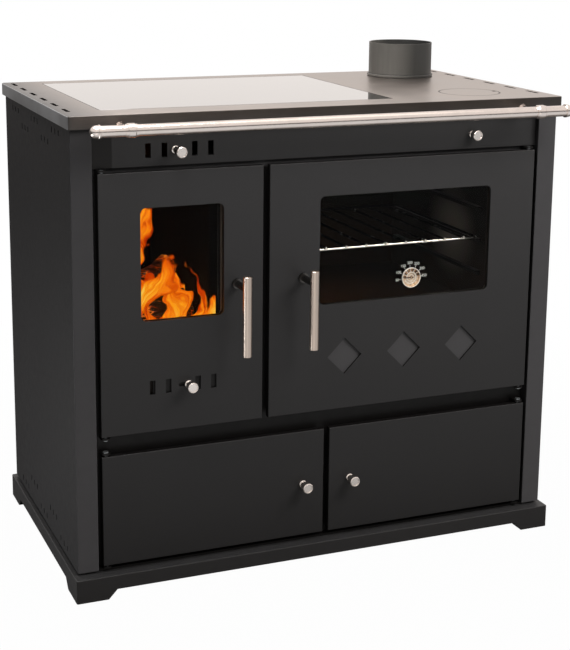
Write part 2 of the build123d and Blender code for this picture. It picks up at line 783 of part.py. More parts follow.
def liner_plate(x, hinge_side, window_middle, window_width, handle_x):
    """Inner plate on an upper door's returns, with the window, the shaft hole and bush notches."""
    bush_x = x[0] if hinge_side < 0 else x[1]
    toward = 1 if hinge_side < 0 else -1
    notch = sorted((bush_x, bush_x + toward * (hinge_inset + bush_radius + 2.0)))
    with BuildPart() as liner:
        with BuildSketch(front_plane(liner_back)):
            panel((x[0] + 0.5, upper_z[0] + 0.5), (x[1] - 0.5, upper_z[1] - 0.5), 2.0)
            panel((window_middle - window_width / 2, window_bottom),
                  (window_middle + window_width / 2, window_bottom + window_height),
                  window_radius, mode=Mode.SUBTRACT)
            for low, high in ((upper_z[0], upper_z[0] + bush_length + 2.0),
                              (upper_z[1] - bush_length - 2.0, upper_z[1])):
                panel((notch[0], low), (notch[1], high), mode=Mode.SUBTRACT)
            with Locations((handle_x, spindle_z)):
                Circle(spindle_radius + running_clearance, mode=Mode.SUBTRACT)
        extrude(amount=door_liner)
    return liner


save(liner_plate((fire_door_left, fire_door_right), -1, fire_middle, fire_window_width,
                 fire_handle_x), "fire_door_liner")
save(liner_plate((oven_door_left, oven_door_right), 1, oven_middle, oven_window_width,
                 oven_handle_x), "oven_door_liner")


def window_glass(middle_x, width, hole_radius=0.0):
    """Pane behind a door's window, with a hole for the thermometer's stem if asked."""
    with BuildPart() as pane:
        with BuildSketch(front_plane(glass_back)):
            panel((middle_x - width / 2 - glass_margin, window_bottom - glass_margin),
                  (middle_x + width / 2 + glass_margin, window_bottom + window_height + glass_margin),
                  3.0)
            if hole_radius:
                with Locations((dial_x, dial_z)):
                    Circle(hole_radius, mode=Mode.SUBTRACT)
        extrude(amount=glass_thickness)
    return pane


def glass_retainer(middle_x, width):
    """Steel ring that clamps the pane: it laps the pane's edge and stands on the door plate."""
    outer = glass_margin + retainer_margin
    inner = glass_margin - retainer_lap
    low = (middle_x - width / 2, window_bottom)
    high = (middle_x + width / 2, window_bottom + window_height)
    with BuildPart() as ring:
        with BuildSketch(front_plane(retainer_back)):
            panel((low[0] - outer, low[1] - outer), (high[0] + outer, high[1] + outer), 6.0)
            panel((low[0] - inner, low[1] - inner), (high[0] + inner, high[1] + inner), 4.0,
                  mode=Mode.SUBTRACT)
        extrude(amount=retainer_back - door_plate_back)
        with BuildSketch(front_plane(glass_back)):
            panel((low[0] - glass_margin, low[1] - glass_margin),
                  (high[0] + glass_margin, high[1] + glass_margin), 3.0)
        extrude(amount=glass_thickness, mode=Mode.SUBTRACT)
    return ring


def retainer_screws(middle_x, width, columns):
    """Screw heads on a retainer's top and bottom bars."""
    reach_z = window_height / 2 + glass_margin + retainer_margin / 2
    reach_x = width / 2 - glass_margin
    pitch = 2 * reach_x / (columns - 1)
    heads = [(middle_x - reach_x + column * pitch, retainer_back + retainer_screw_head / 2,
              window_middle_z + side * reach_z) for column in range(columns) for side in (-1, 1)]
    with BuildPart() as screws:
        with Locations(heads):
            Cylinder(retainer_screw_radius, retainer_screw_head, rotation=(90, 0, 0))
    return screws


save(window_glass(fire_middle, fire_window_width), "fire_door_glass")
save(window_glass(oven_middle, oven_window_width, dial_stem_radius), "oven_door_glass")
save(glass_retainer(fire_middle, fire_window_width), "fire_glass_retainer")
save(glass_retainer(oven_middle, oven_window_width), "oven_glass_retainer")
save(retainer_screws(fire_middle, fire_window_width, 2), "fire_retainer_screws")
save(retainer_screws(oven_middle, oven_window_width, 4), "oven_retainer_screws")


def rope_gasket(low, high):
    """Rope gasket on a door liner: a ring with outer corners low and high, rounded at the back."""
    with BuildPart() as rope:
        with BuildSketch(front_plane(liner_back + rope_depth)):
            panel(low, high, rope_corner)
            panel((low[0] + rope_width, low[1] + rope_width),
                  (high[0] - rope_width, high[1] - rope_width), rope_corner - rope_width,
                  mode=Mode.SUBTRACT)
        extrude(amount=rope_depth)
        fillet(rope.faces().sort_by(Axis.Y)[-1].edges(), rope_width / 2 - 0.6)
    return rope


fire_rope_low = (fire_mouth[0][0] - rope_width - rope_room + rope_hinge_shift,
                 ash_mouth_bottom - rope_width - rope_room)
fire_rope_high = (fire_mouth[1][0] + rope_width + rope_room,
                  fire_mouth_top + rope_width + rope_room)
save(rope_gasket(fire_rope_low, fire_rope_high), "fire_door_gasket")
oven_rope_margin = rope_width + rope_room
save(rope_gasket((oven_left - oven_rope_margin, oven_bottom - oven_rope_margin),
                 (oven_left + oven_width + oven_rope_margin, oven_top + oven_rope_margin)),
     "oven_door_gasket")


def handle_bar(x):
    """Upright bar with the blind cross hole for its spindle."""
    with BuildPart() as bar:
        rod_z(x, bar_y, (bar_bottom, bar_bottom + bar_length), bar_radius)
        chamfer(bar.edges().filter_by(GeomType.CIRCLE), bar_chamfer)
        rod_y(x, spindle_z, (bar_y, bar_y + bar_radius + 1), spindle_radius, mode=Mode.SUBTRACT)
    return bar


def latch_shaft(x):
    """Shaft from the bar through the door, with a collar, and a tongue behind the front frame.

    The tongue stands upright when the handle hangs, in line with its slot in the frame.
    """
    tongue = (frame_back + gap, frame_back + gap + pawl_thickness)
    with BuildPart() as shaft:
        rod_y(x, spindle_z, (bar_y, tongue[1]), spindle_radius)
        rod_y(x, spindle_z, (door_front - gap - spindle_collar_length, door_front - gap),
              spindle_collar_radius)
        rod_y(x, spindle_z, tongue, spindle_collar_radius)
        with BuildSketch(front_plane(tongue[1])):
            length = pawl_reach - pawl_width / 2
            with Locations((x, spindle_z + length / 2)):
                SlotCenterToCenter(length, pawl_width, rotation=90)
        extrude(amount=pawl_thickness)
    return shaft


for name, handle_x in (("fire_door", fire_handle_x), ("oven_door", oven_handle_x)):
    save(handle_bar(handle_x), f"{name}_handle_bar")
    save(latch_shaft(handle_x), f"{name}_latch_shaft")

# thermometer
with BuildPart() as thermometer_dial:
    dial_front = door_plate_back - dial_depth
    rod_y(dial_x, dial_z, (dial_front, door_plate_back), dial_radius)
    rod_y(dial_x, dial_z, (dial_front - 1, door_plate_back - dial_plate), dial_radius - dial_rim,
          mode=Mode.SUBTRACT)
    rod_y(dial_x, dial_z, (door_plate_back, door_plate_back + dial_stem_length), dial_stem_radius)
    rod_y(dial_x, dial_z, (dial_front + 0.6, door_plate_back), arbor_radius)
save(thermometer_dial, "thermometer_dial")

with BuildPart() as thermometer_needle:
    needle_back = door_plate_back - dial_plate - 0.8
    with BuildSketch(front_plane(needle_back)):
        with Locations((dial_x - (needle_length - needle_tail) / 2, dial_z)):
            Rectangle(needle_length + needle_tail, needle_width)
        with Locations((dial_x, dial_z)):
            Circle(needle_hub_radius)
            Circle(arbor_radius + running_clearance, mode=Mode.SUBTRACT)
    extrude(amount=needle_thickness)
save(thermometer_needle, "thermometer_needle")

# lower doors
with BuildPart() as lower_left_door:
    door_pan(lower_left_door, (fire_door_left, lower_split_left), lower_z, -1)
save(lower_left_door, "lower_left_door")

with BuildPart() as lower_right_door:
    door_pan(lower_right_door, (lower_split_right, oven_door_right), lower_z, 1)
save(lower_right_door, "lower_right_door")

lower_knob_x = (lower_split_left - lower_knob_inset, lower_split_right + lower_knob_inset)
for name, knob_x in zip(("lower_left_knob", "lower_right_knob"), lower_knob_x):
    save(make_knob(knob_x, door_front, lower_knob_z), name)

with BuildPart() as door_magnets:
    for edge_x, inward in ((lower_split_left, -1), (lower_split_right, 1)):
        magnet_x = sorted((edge_x, edge_x + inward * magnet_height))
        block(magnet_x, (door_back + gap, frame_front),
              (lower_knob_z - magnet_width / 2, lower_knob_z + magnet_width / 2))
save(door_magnets, "door_magnets")

# ---------------------------------------------------------------- hob
glass_x = (-hob_width / 2 + glass_left_margin, -hob_width / 2 + glass_left_margin + hob_glass_width)
glass_y = (hob_front + glass_front_margin, hob_front + glass_front_margin + hob_glass_depth)

with BuildPart() as hob_plate:
    hob_middle_y = (hob_front + hob_back) / 2
    with Locations((0, hob_middle_y, hob_height - lip_height / 2)):
        Box(hob_width, hob_depth, lip_height)
    fillet(hob_plate.edges().filter_by(Axis.Z), hob_corner_radius)
    fillet(hob_plate.faces().sort_by(Axis.Z)[-1].edges(), hob_edge_radius)
    with BuildSketch(Plane.XY.offset(hob_height - lip_height)):
        with Locations((0, hob_middle_y)):
            RectangleRounded(hob_width - 2 * lip_thickness, hob_depth - 2 * lip_thickness,
                             hob_corner_radius - lip_thickness)
    extrude(amount=lip_height - hob_thickness, mode=Mode.SUBTRACT)
    with BuildSketch(Plane.XY.offset(hob_under)):
        panel((glass_x[0] - hob_glass_gap, glass_y[0] - hob_glass_gap),
              (glass_x[1] + hob_glass_gap, glass_y[1] + hob_glass_gap), 3.0)
        with Locations((lid_x, lid_y)):
            Circle(lid_radius + lid_gap)
        with Locations((flue_x, flue_y)):
            Circle(flue_hole_radius)
        slot_middle_y = hob_back - hob_slot_from_back - (hob_slot_count - 1) / 2 * hob_slot_pitch
        with Locations((0, slot_middle_y)):
            with GridLocations(hob_width - 2 * hob_slot_edge, hob_slot_pitch, 2, hob_slot_count):
                RectangleRounded(hob_slot_width, hob_slot_length, 1.5)
    extrude(amount=hob_thickness, mode=Mode.SUBTRACT)
save(hob_plate, "hob_plate")

with BuildPart() as hob_glass:
    block(glass_x, glass_y, (hob_under, hob_height))
    fillet(hob_glass.edges().filter_by(Axis.Z), 2.0)
    chamfer(hob_glass.faces().sort_by(Axis.Z)[-1].edges(), 0.5)
save(hob_glass, "hob_glass")

with BuildPart() as hotplate_lid:
    rod_z(lid_x, lid_y, (hob_under + gap, hob_height), lid_radius)
    fillet(hotplate_lid.faces().sort_by(Axis.Z)[-1].edges(), 0.8)
    with BuildSketch(Plane.XY.offset(hob_height - lid_notch_depth)):
        with Locations((lid_x + lid_radius, lid_y)):
            SlotOverall(2 * lid_notch_length, lid_notch_width)
    extrude(amount=lid_notch_depth + 1, mode=Mode.SUBTRACT)
save(hotplate_lid, "hotplate_lid")

with BuildPart() as hob_seats:
    with BuildSketch(Plane.XY.offset(hob_under - seat_thickness)):
        panel((glass_x[0] - seat_width, glass_y[0] - seat_width),
              (glass_x[1] + seat_width, glass_y[1] + seat_width), 3.0)
        panel((glass_x[0] + seat_lap, glass_y[0] + seat_lap),
              (glass_x[1] - seat_lap, glass_y[1] - seat_lap), 3.0, mode=Mode.SUBTRACT)
        with Locations((lid_x, lid_y)):
            Circle(lid_radius + seat_width)
            Circle(lid_radius - seat_lap, mode=Mode.SUBTRACT)
    extrude(amount=seat_thickness)
save(hob_seats, "hob_seats")

with BuildPart() as flue_collar:
    with BuildSketch(Plane(origin=(flue_x, flue_y, 0), x_dir=(1, 0, 0), z_dir=(0, -1, 0))):
        flange_bottom = hob_height + flue_foot_height
        with BuildLine():
            Polyline((flue_bore_radius, hob_under), (flue_hole_radius, hob_under),
                     (flue_hole_radius, hob_height), (flue_foot_radius, hob_height),
                     (flue_foot_radius, flange_bottom), (flue_flange_radius, flange_bottom),
                     (flue_flange_radius, flange_bottom + flue_flange_height - flue_flange_edge),
                     (flue_flange_radius - flue_flange_edge, flange_bottom + flue_flange_height),
                     (flue_neck_radius, flange_bottom + flue_flange_height),
                     (flue_neck_radius, hob_height + flue_seat),
                     (flue_bore_radius, hob_height + flue_seat),
                     close=True)
        make_face()
    revolve(axis=Axis((flue_x, flue_y, 0), (0, 0, 1)))
save(flue_collar, "flue_collar")

with BuildPart() as flue_spigot:
    rod_z(flue_x, flue_y, (hob_height + flue_seat, hob_height + flue_neck_height), flue_neck_radius)
    rod_z(flue_x, flue_y, (hob_height + flue_neck_height, hob_height + flue_height), flue_radius)
    rod_z(flue_x, flue_y, (hob_height, hob_height + flue_height + 1), flue_radius - flue_wall,
          mode=Mode.SUBTRACT)
save(flue_spigot, "flue_spigot")

# ---------------------------------------------------------------- towel rail
rail_y = hob_front - rail_setback
rail_z = hob_height - rail_drop
rail_half = rail_length / 2


def ring_x(x, y, z, radius, length, mode=Mode.ADD):
    """Round bar along X about its middle."""
    with Locations((x, y, z)):
        Cylinder(radius, length, rotation=(0, 90, 0), mode=mode)


with BuildPart() as towel_rail:
    ring_x(0, rail_y, rail_z, rail_radius, rail_length - 2 * (rail_cap_length - rail_socket))
    ring_x(0, rail_y, rail_z, rail_radius - rail_wall, rail_length, mode=Mode.SUBTRACT)
save(towel_rail, "towel_rail")

with BuildPart() as rail_end_caps:
    for side in (-1, 1):
        inner = side * (rail_half - rail_cap_length)
        with BuildSketch(Plane(origin=(inner, rail_y, rail_z), x_dir=(side, 0, 0),
                               z_dir=(0, -side, 0))):
            collar = rail_socket - 0.5
            ball_middle = rail_cap_length - rail_ball_radius
            neck = (rail_ball_radius ** 2 - (rail_socket - ball_middle) ** 2) ** 0.5
            ball_diagonal = rail_ball_radius * 0.5 ** 0.5
            with BuildLine():
                Polyline((rail_cap_length, 0), (rail_socket, 0), (rail_socket, rail_radius),
                         (0, rail_radius), (0, rail_cap_radius - 0.5), (0.5, rail_cap_radius),
                         (collar, rail_cap_radius), (rail_socket, neck))
                ThreePointArc((rail_socket, neck), (ball_middle + ball_diagonal, ball_diagonal),
                              (rail_cap_length, 0))
            make_face()
        revolve(axis=Axis((inner, rail_y, rail_z), (1, 0, 0)))
save(rail_end_caps, "rail_end_caps")

with BuildPart() as rail_brackets:
    for x in (-rail_half + rail_ring_inset, rail_half - rail_ring_inset):
        with BuildSketch(Plane(origin=(x, rail_y, rail_z), x_dir=(1, 0, 0), z_dir=(0, -1, 0))):
            half_ring = rail_ring_length / 2
            collar_radius = rail_radius + rail_ring_collar
            with BuildLine():
                Polyline((-half_ring - rail_ring_collar_length, rail_radius),
                         (-half_ring - rail_ring_collar_length, collar_radius),
                         (-half_ring, collar_radius), (-half_ring + 1.5, rail_ring_radius),
                         (half_ring - 1.5, rail_ring_radius), (half_ring, collar_radius),
                         (half_ring + rail_ring_collar_length, collar_radius),
                         (half_ring + rail_ring_collar_length, rail_radius), close=True)
            make_face()
        revolve(axis=Axis((x, rail_y, rail_z), (1, 0, 0)))
        rod_y(x, rail_z, (rail_y, hob_front), rail_stud_radius)
        rod_y(x, rail_z, (hob_front - rail_foot_length, hob_front), rail_foot_radius)
    ring_x(0, rail_y, rail_z, rail_radius, rail_length, mode=Mode.SUBTRACT)
save(rail_brackets, "rail_brackets")

# ---------------------------------------------------------------- inside of the body
with BuildPart() as deck_plate:
    block((-body_width / 2 + sheet, body_width / 2 - sheet), (frame_back, body_back - 2 * sheet),
          (deck_bottom, deck_top))
save(deck_plate, "deck_plate")

with BuildPart() as compartment_divider:
    block((divider_x - sheet / 2, divider_x + sheet / 2), (frame_back, body_back - sheet),
          (body_bottom, deck_bottom))
save(compartment_divider, "compartment_divider")

casing_half = body_width / 2 - casing_offset
casing_rear = body_back - sheet - casing_rear_gap
with BuildPart() as inner_casing:
    with BuildSketch(Plane.XY.offset(deck_top)):
        panel((-casing_half, frame_back), (casing_half, casing_rear))
        panel((-casing_half + casing_thickness, frame_back - 1),
              (casing_half - casing_thickness, casing_rear - casing_thickness), mode=Mode.SUBTRACT)
    extrude(amount=hob_under - deck_top)
save(inner_casing, "inner_casing")

firebox_x = (firebox_left, firebox_right)
firebox_y = (frame_back, firebox_rear)
chamber_x = (firebox_left + firebox_wall, firebox_right - firebox_wall)
chamber_y = (frame_back - 1, firebox_rear - firebox_wall)
grate_x = (sum(chamber_x) / 2 - grate_width / 2, sum(chamber_x) / 2 + grate_width / 2)
grate_y = (frame_back + grate_front_gap, frame_back + grate_front_gap + grate_depth)

with BuildPart() as firebox_shell:
    block(firebox_x, firebox_y, (deck_top, firebox_top))
    block(chamber_x, chamber_y, (hearth_top, firebox_top + 1), mode=Mode.SUBTRACT)
    block(chamber_x, chamber_y, (ash_floor_top, hearth_top - hearth_thickness), mode=Mode.SUBTRACT)
    block(chamber_x, chamber_y, (deck_top - 1, ash_floor_top - firebox_wall), mode=Mode.SUBTRACT)
    block((grate_x[0] + grate_ledge, grate_x[1] - grate_ledge),
          (grate_y[0] + grate_ledge, grate_y[1] - grate_ledge),
          (hearth_top - hearth_thickness - 1, hearth_top + 1), mode=Mode.SUBTRACT)
save(firebox_shell, "firebox_shell")

with BuildPart() as fire_bricks:
    brick_z = (hearth_top, hearth_top + brick_height)
    side_y = (frame_back + brick_joint, firebox_rear - firebox_wall)
    rear_y = (firebox_rear - firebox_wall - brick_thickness, firebox_rear - firebox_wall)
    block((chamber_x[0], chamber_x[0] + brick_thickness), side_y, brick_z)
    block((chamber_x[1] - brick_thickness, chamber_x[1]), side_y, brick_z)
    block((chamber_x[0] + brick_thickness + brick_joint, chamber_x[1] - brick_thickness - brick_joint),
          rear_y, brick_z)
    chamfer(fire_bricks.edges().filter_by(Axis.Z), 2.0)
save(fire_bricks, "fire_bricks")

with BuildPart() as fire_grate:
    block(grate_x, grate_y, (hearth_top, hearth_top + grate_thickness))
    slot_pitch = (grate_width - 2 * grate_rim - grate_slot_width) / (grate_slot_count - 1)
    with BuildSketch(Plane.XY.offset(hearth_top)):
        with Locations((sum(grate_x) / 2, sum(grate_y) / 2)):
            with GridLocations(slot_pitch, 0, grate_slot_count, 1):
                SlotOverall(grate_depth - 2 * grate_rim, grate_slot_width, rotation=90)
            Rectangle(grate_width, grate_rim, mode=Mode.SUBTRACT)
    extrude(amount=grate_thickness, mode=Mode.SUBTRACT)
save(fire_grate, "fire_grate")

pan_x = (ash_mouth[0][0] + ash_pan_side_gap, ash_mouth[1][0] - ash_pan_side_gap)
pan_y = (frame_back + ash_pan_front_gap, frame_back + ash_pan_front_gap + ash_pan_depth)
pan_z = (ash_mouth_bottom + gap, ash_mouth_bottom + gap + ash_pan_height)
with BuildPart() as ash_pan:
    block(pan_x, pan_y, pan_z)
    fillet(ash_pan.edges().filter_by(Axis.Z), 4.0)
    with BuildSketch(Plane.XY.offset(pan_z[0] + ash_pan_wall)):
        panel((pan_x[0] + ash_pan_wall, pan_y[0] + ash_pan_wall),
              (pan_x[1] - ash_pan_wall, pan_y[1] - ash_pan_wall), 4.0 - ash_pan_wall)
    extrude(amount=ash_pan_height, mode=Mode.SUBTRACT)
    grip_x = sum(pan_x) / 2
    block((grip_x - ash_pan_grip_width / 2, grip_x + ash_pan_grip_width / 2),
          (pan_y[0] - ash_pan_grip, pan_y[0]), (pan_z[1] - ash_pan_wall, pan_z[1]))
save(ash_pan, "ash_pan")

# oven
oven_x = (oven_left, oven_left + oven_width)
oven_z = (oven_bottom, oven_top)
with BuildPart() as oven_box:
    block((oven_x[0] - oven_sheet, oven_x[1] + oven_sheet),
          (frame_back, frame_back + oven_depth + oven_sheet),
          (oven_z[0] - oven_sheet, oven_z[1] + oven_sheet))
    block(oven_x, (frame_back - 1, frame_back + oven_depth), oven_z, mode=Mode.SUBTRACT)
save(oven_box, "oven_box")

with BuildPart() as oven_runners:
    runner_y = (frame_back + rack_front_gap, frame_back + rack_front_gap + rack_depth)
    for level in (-1, 0, 1):
        top = runner_level + level * runner_pitch
        for wall, inward in ((oven_x[0], 1), (oven_x[1], -1)):
            block(sorted((wall, wall + inward * runner_width)), runner_y,
                  (top - runner_thickness, top))
            block(sorted((wall, wall + inward * runner_thickness)), runner_y,
                  (top - runner_width, top - runner_thickness))
save(oven_runners, "oven_runners")

with BuildPart() as oven_rack:
    rack_x = (oven_x[0] + rack_side_gap, oven_x[1] - rack_side_gap)
    rack_y = (frame_back + rack_front_gap, frame_back + rack_front_gap + rack_depth)
    rack_z = runner_level + gap + rack_wire
    left, right = rack_x[0] + rack_wire, rack_x[1] - rack_wire
    front, rear = rack_y[0] + rack_wire, rack_y[1] - rack_wire
    with BuildLine(Plane.XY.offset(rack_z)) as rack_outline:
        FilletPolyline((left, front), (right, front), (right, rear), (left, rear),
                       radius=rack_corner, close=True)
    with BuildSketch(Plane(origin=rack_outline.line @ 0, z_dir=rack_outline.line % 0)):
        Circle(rack_wire)
    sweep(path=rack_outline.line)
    bar_z = rack_z + rack_wire - rack_weld
    first_bar = rack_x[0] + rack_bar_margin
    rack_bar_pitch = (rack_x[1] - rack_bar_margin - first_bar) / (rack_bar_count - 1)
    for bar in range(rack_bar_count):
        rod_y(first_bar + bar * rack_bar_pitch, bar_z,
              (rack_y[0] - rack_bar_overhang, rack_y[1] + rack_bar_overhang), rack_bar)
save(oven_rack, "oven_rack")

# flue chamber and bypass damper
chamber_top = hob_under
with BuildPart() as flue_divider:
    wall_y = (flue_wall_y, flue_wall_y + flue_wall_thickness)
    oven_outer_top = oven_top + oven_sheet
    block((flue_wall_x, casing_half - casing_thickness), wall_y, (oven_outer_top, chamber_top))
    block((oven_x[1] + oven_sheet, casing_half - casing_thickness), wall_y,
          (oven_bottom, oven_outer_top))
    block((flue_wall_x, flue_wall_x + flue_wall_thickness), (wall_y[1], casing_rear - casing_thickness),
          (oven_outer_top, chamber_top))
    hole_half_width = damper_plate_width / 2 - damper_hole_lap
    hole_half_height = damper_plate_height / 2 - damper_hole_lap
    block((damper_x - hole_half_width, damper_x + hole_half_width), (wall_y[0] - 1, wall_y[1] + 1),
          (fascia_slot_z - hole_half_height, fascia_slot_z + hole_half_height),
          mode=Mode.SUBTRACT)
save(flue_divider, "flue_divider")

with BuildPart() as bypass_damper:
    plate_y = (flue_wall_y - gap - damper_plate_thickness, flue_wall_y - gap)
    rod_y(damper_x, fascia_slot_z, (fascia_front - gap - stud_depth, plate_y[0]),
          damper_rod_radius)
    block((damper_x - damper_plate_width / 2, damper_x + damper_plate_width / 2), plate_y,
          (fascia_slot_z - damper_plate_height / 2, fascia_slot_z + damper_plate_height / 2))
save(bypass_damper, "bypass_damper")
save(make_knob(damper_x, fascia_front - gap, fascia_slot_z, damper_rod_radius,
               damper_knob_length), "bypass_damper_knob")
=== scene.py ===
"""Wood cookstove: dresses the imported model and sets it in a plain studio.

Metres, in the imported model's frame: X to the right, Y to the back, Z up, floor at zero.
"""
import math

import bmesh
import bpy
import numpy as np
from bpy.props import FloatProperty, PointerProperty, StringProperty
from mathutils import Matrix, Vector


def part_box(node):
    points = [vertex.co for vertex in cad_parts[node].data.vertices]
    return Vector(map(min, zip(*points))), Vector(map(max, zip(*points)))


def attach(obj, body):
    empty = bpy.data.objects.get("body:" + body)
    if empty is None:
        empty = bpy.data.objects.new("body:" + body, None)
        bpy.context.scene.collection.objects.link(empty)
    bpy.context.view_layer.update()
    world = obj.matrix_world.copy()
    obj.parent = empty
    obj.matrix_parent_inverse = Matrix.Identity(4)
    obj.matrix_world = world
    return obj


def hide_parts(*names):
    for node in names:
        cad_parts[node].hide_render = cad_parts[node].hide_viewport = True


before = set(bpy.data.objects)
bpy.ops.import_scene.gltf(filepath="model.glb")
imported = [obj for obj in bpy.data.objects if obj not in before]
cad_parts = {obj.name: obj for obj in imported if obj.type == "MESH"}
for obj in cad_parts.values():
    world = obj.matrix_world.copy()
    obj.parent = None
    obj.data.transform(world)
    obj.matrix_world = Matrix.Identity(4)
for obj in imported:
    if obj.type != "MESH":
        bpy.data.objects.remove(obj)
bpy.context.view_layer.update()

bl_info = {
    "name": "Wood cookstove",
    "version": (1, 0, 0),
    "blender": (4, 5, 0),
    "location": "View3D > Sidebar > Cookstove",
    "description": "Finishes, fire, rope seals and studio of a wood cookstove",
    "category": "Object",
}

MM = 0.001
TAU = 2 * math.pi
IMAGE_SIZE = (570, 650)                            # pixels
CAMERA_ANGLES = (22.354, 11.896, 0.582)            # degrees of turn, downward tilt and roll
CAMERA_PLACE = (-1.033028, -2.528482, 1.163907)
CAMERA_SHIFT = -0.15                               # of the lens, downwards
FOCAL_PIXELS = 1454.645
DIAL_FIRST, DIAL_LAST, DIAL_COUNT = 187, 3, 7      # angles of the thermometer's numbers
DIAL_STEP = (DIAL_FIRST - DIAL_LAST) / (DIAL_COUNT - 1)
DEGREES_STEP = 50                                  # what one number reads more than the last


# ---------------------------------------------------------------- colours and nodes
def linear(code):
    """Linear RGBA of an sRGB hex code."""
    value = np.array([int(code[i:i + 2], 16) for i in (1, 3, 5)]) / 255
    low = value / 12.92
    high = ((value + 0.055) / 1.055) ** 2.4
    return tuple(float(v) for v in np.where(value <= 0.04045, low, high)) + (1.0,)


def add(tree, kind, inputs=(), operation=None, stops=(), **settings):
    """Add a node with its settings and links.

    inputs fill the sockets in use in their order, or by name where they are a dictionary: a
    range takes a value, its two ends and what they become, a noise its place, scale, detail and
    roughness.  Each is a value, a hex colour, a socket, or a node, for its first socket in use.
    stops are the positions and colours of a ramp, and a mix is one of colours if not told else.
    """
    node = tree.nodes.new("ShaderNode" + kind)
    if operation:
        settings["operation"] = operation
    if kind == "Mix":
        settings.setdefault("data_type", "RGBA")
    for key, value in settings.items():
        setattr(node, key, value)
    if not isinstance(inputs, dict):
        in_use = [index for index, socket in enumerate(node.inputs) if socket.enabled]
        inputs = dict(zip(in_use, inputs))
    for key, value in inputs.items():
        if isinstance(value, bpy.types.Node):
            value = next(socket for socket in value.outputs if socket.enabled)
        if isinstance(value, bpy.types.NodeSocket):
            tree.links.new(value, node.inputs[key])
        else:
            node.inputs[key].default_value = linear(value) if isinstance(value, str) else value
    if stops:
        elements = node.color_ramp.elements
        while len(elements) < len(stops):
            elements.new(0.5)
        for element, (position, colour) in zip(elements, stops):
            element.position = position
            element.color = linear(colour)
    return node


def new_material(name):
    """Empty node material; returns it with its tree and its object coordinates."""
    material = bpy.data.materials.new(name)
    material.use_nodes = True
    tree = material.node_tree
    tree.nodes.clear()
    return material, tree, add(tree, "TexCoord").outputs["Object"]


def finish(material, surface, relief=None):
    """Close a material with a principled surface of these inputs, and return it.

    relief is the height, strength and depth of a bump.
    """
    tree = material.node_tree
    if relief:
        bump = dict(zip(("Height", "Strength", "Distance"), relief))
        surface["Normal"] = add(tree, "Bump", bump)
    add(tree, "OutputMaterial", [add(tree, "BsdfPrincipled", surface)])
    return material


def dress(material, *nodes):
    """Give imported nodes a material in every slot."""
    for name in nodes:
        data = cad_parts[name].data
        if not data.materials:
            data.materials.append(material)
        for index in range(len(data.materials)):
            data.materials[index] = material


# ---------------------------------------------------------------- materials
def painted_light_split(tree, place, colour, painted_patch):
    """Ground colour with painted light or shade past a line; painted_patch is an axis, where the
    change starts and ends, and the colour beyond.
    """
    if not painted_patch:
        return colour
    axis, start, end, other = painted_patch
    part = add(tree, "SeparateXYZ", [place])
    beyond = add(tree, "MapRange", [part.outputs[axis], start, end])
    return add(tree, "Mix", [beyond, colour, other])


def powder_coat(name, colour, roughness=0.46, cloud=0.06, pebble_mm=0.9, gloss=0.3, painted_patch=None,
                painted_fade=None):
    """Powder coated sheet steel, sprayed and baked: a satin skin with a fine pebble.

    The eye gets a soft, even dark grey that drifts a little in shade over a hand's width and
    sparkles very finely in the light.  Real pebble is about 0.4 mm; it is drawn coarser to show.
    painted_patch: painted light or shade; past a line on one axis the coat takes another colour,
    lighter where a face stands in the light and darker where it lies in shade.
    painted_fade is two heights and a gain: painted light, the coat pales by that gain from the
    first height to the second.
    """
    material, tree, place = new_material(name)
    drift = add(tree, "TexNoise", [place, 5.0, 3.0, 0.55])
    mottle = add(tree, "TexNoise", [place, 1 / (14 * MM), 4.0, 0.6])
    pebble = add(tree, "TexNoise", [place, 1 / (pebble_mm * MM), 2.0, 0.5])
    shade = add(tree, "Math", [drift, mottle], "ADD")
    spread = add(tree, "MapRange", [shade, 0.7, 1.3, 1 - cloud, 1 + cloud])
    # painted light: the coat pales with height between the two given heights
    if painted_fade:
        lift = add(tree, "SeparateXYZ", [place])
        pale = add(tree, "MapRange", [lift.outputs["Z"], painted_fade[0], painted_fade[1], 1.0, painted_fade[2]])
        spread = add(tree, "Math", [spread, pale], "MULTIPLY")
    tint = add(tree, "Mix", [1.0, painted_light_split(tree, place, colour, painted_patch), spread],
               blend_type="MULTIPLY")
    satin = add(tree, "MapRange", [mottle, 0.3, 0.7, roughness - 0.05, roughness + 0.06])
    return finish(material, {"Base Color": tint, "Roughness": satin, "IOR": 1.5,
                             "Specular IOR Level": gloss}, relief=(pebble, 0.35, 0.05 * MM))


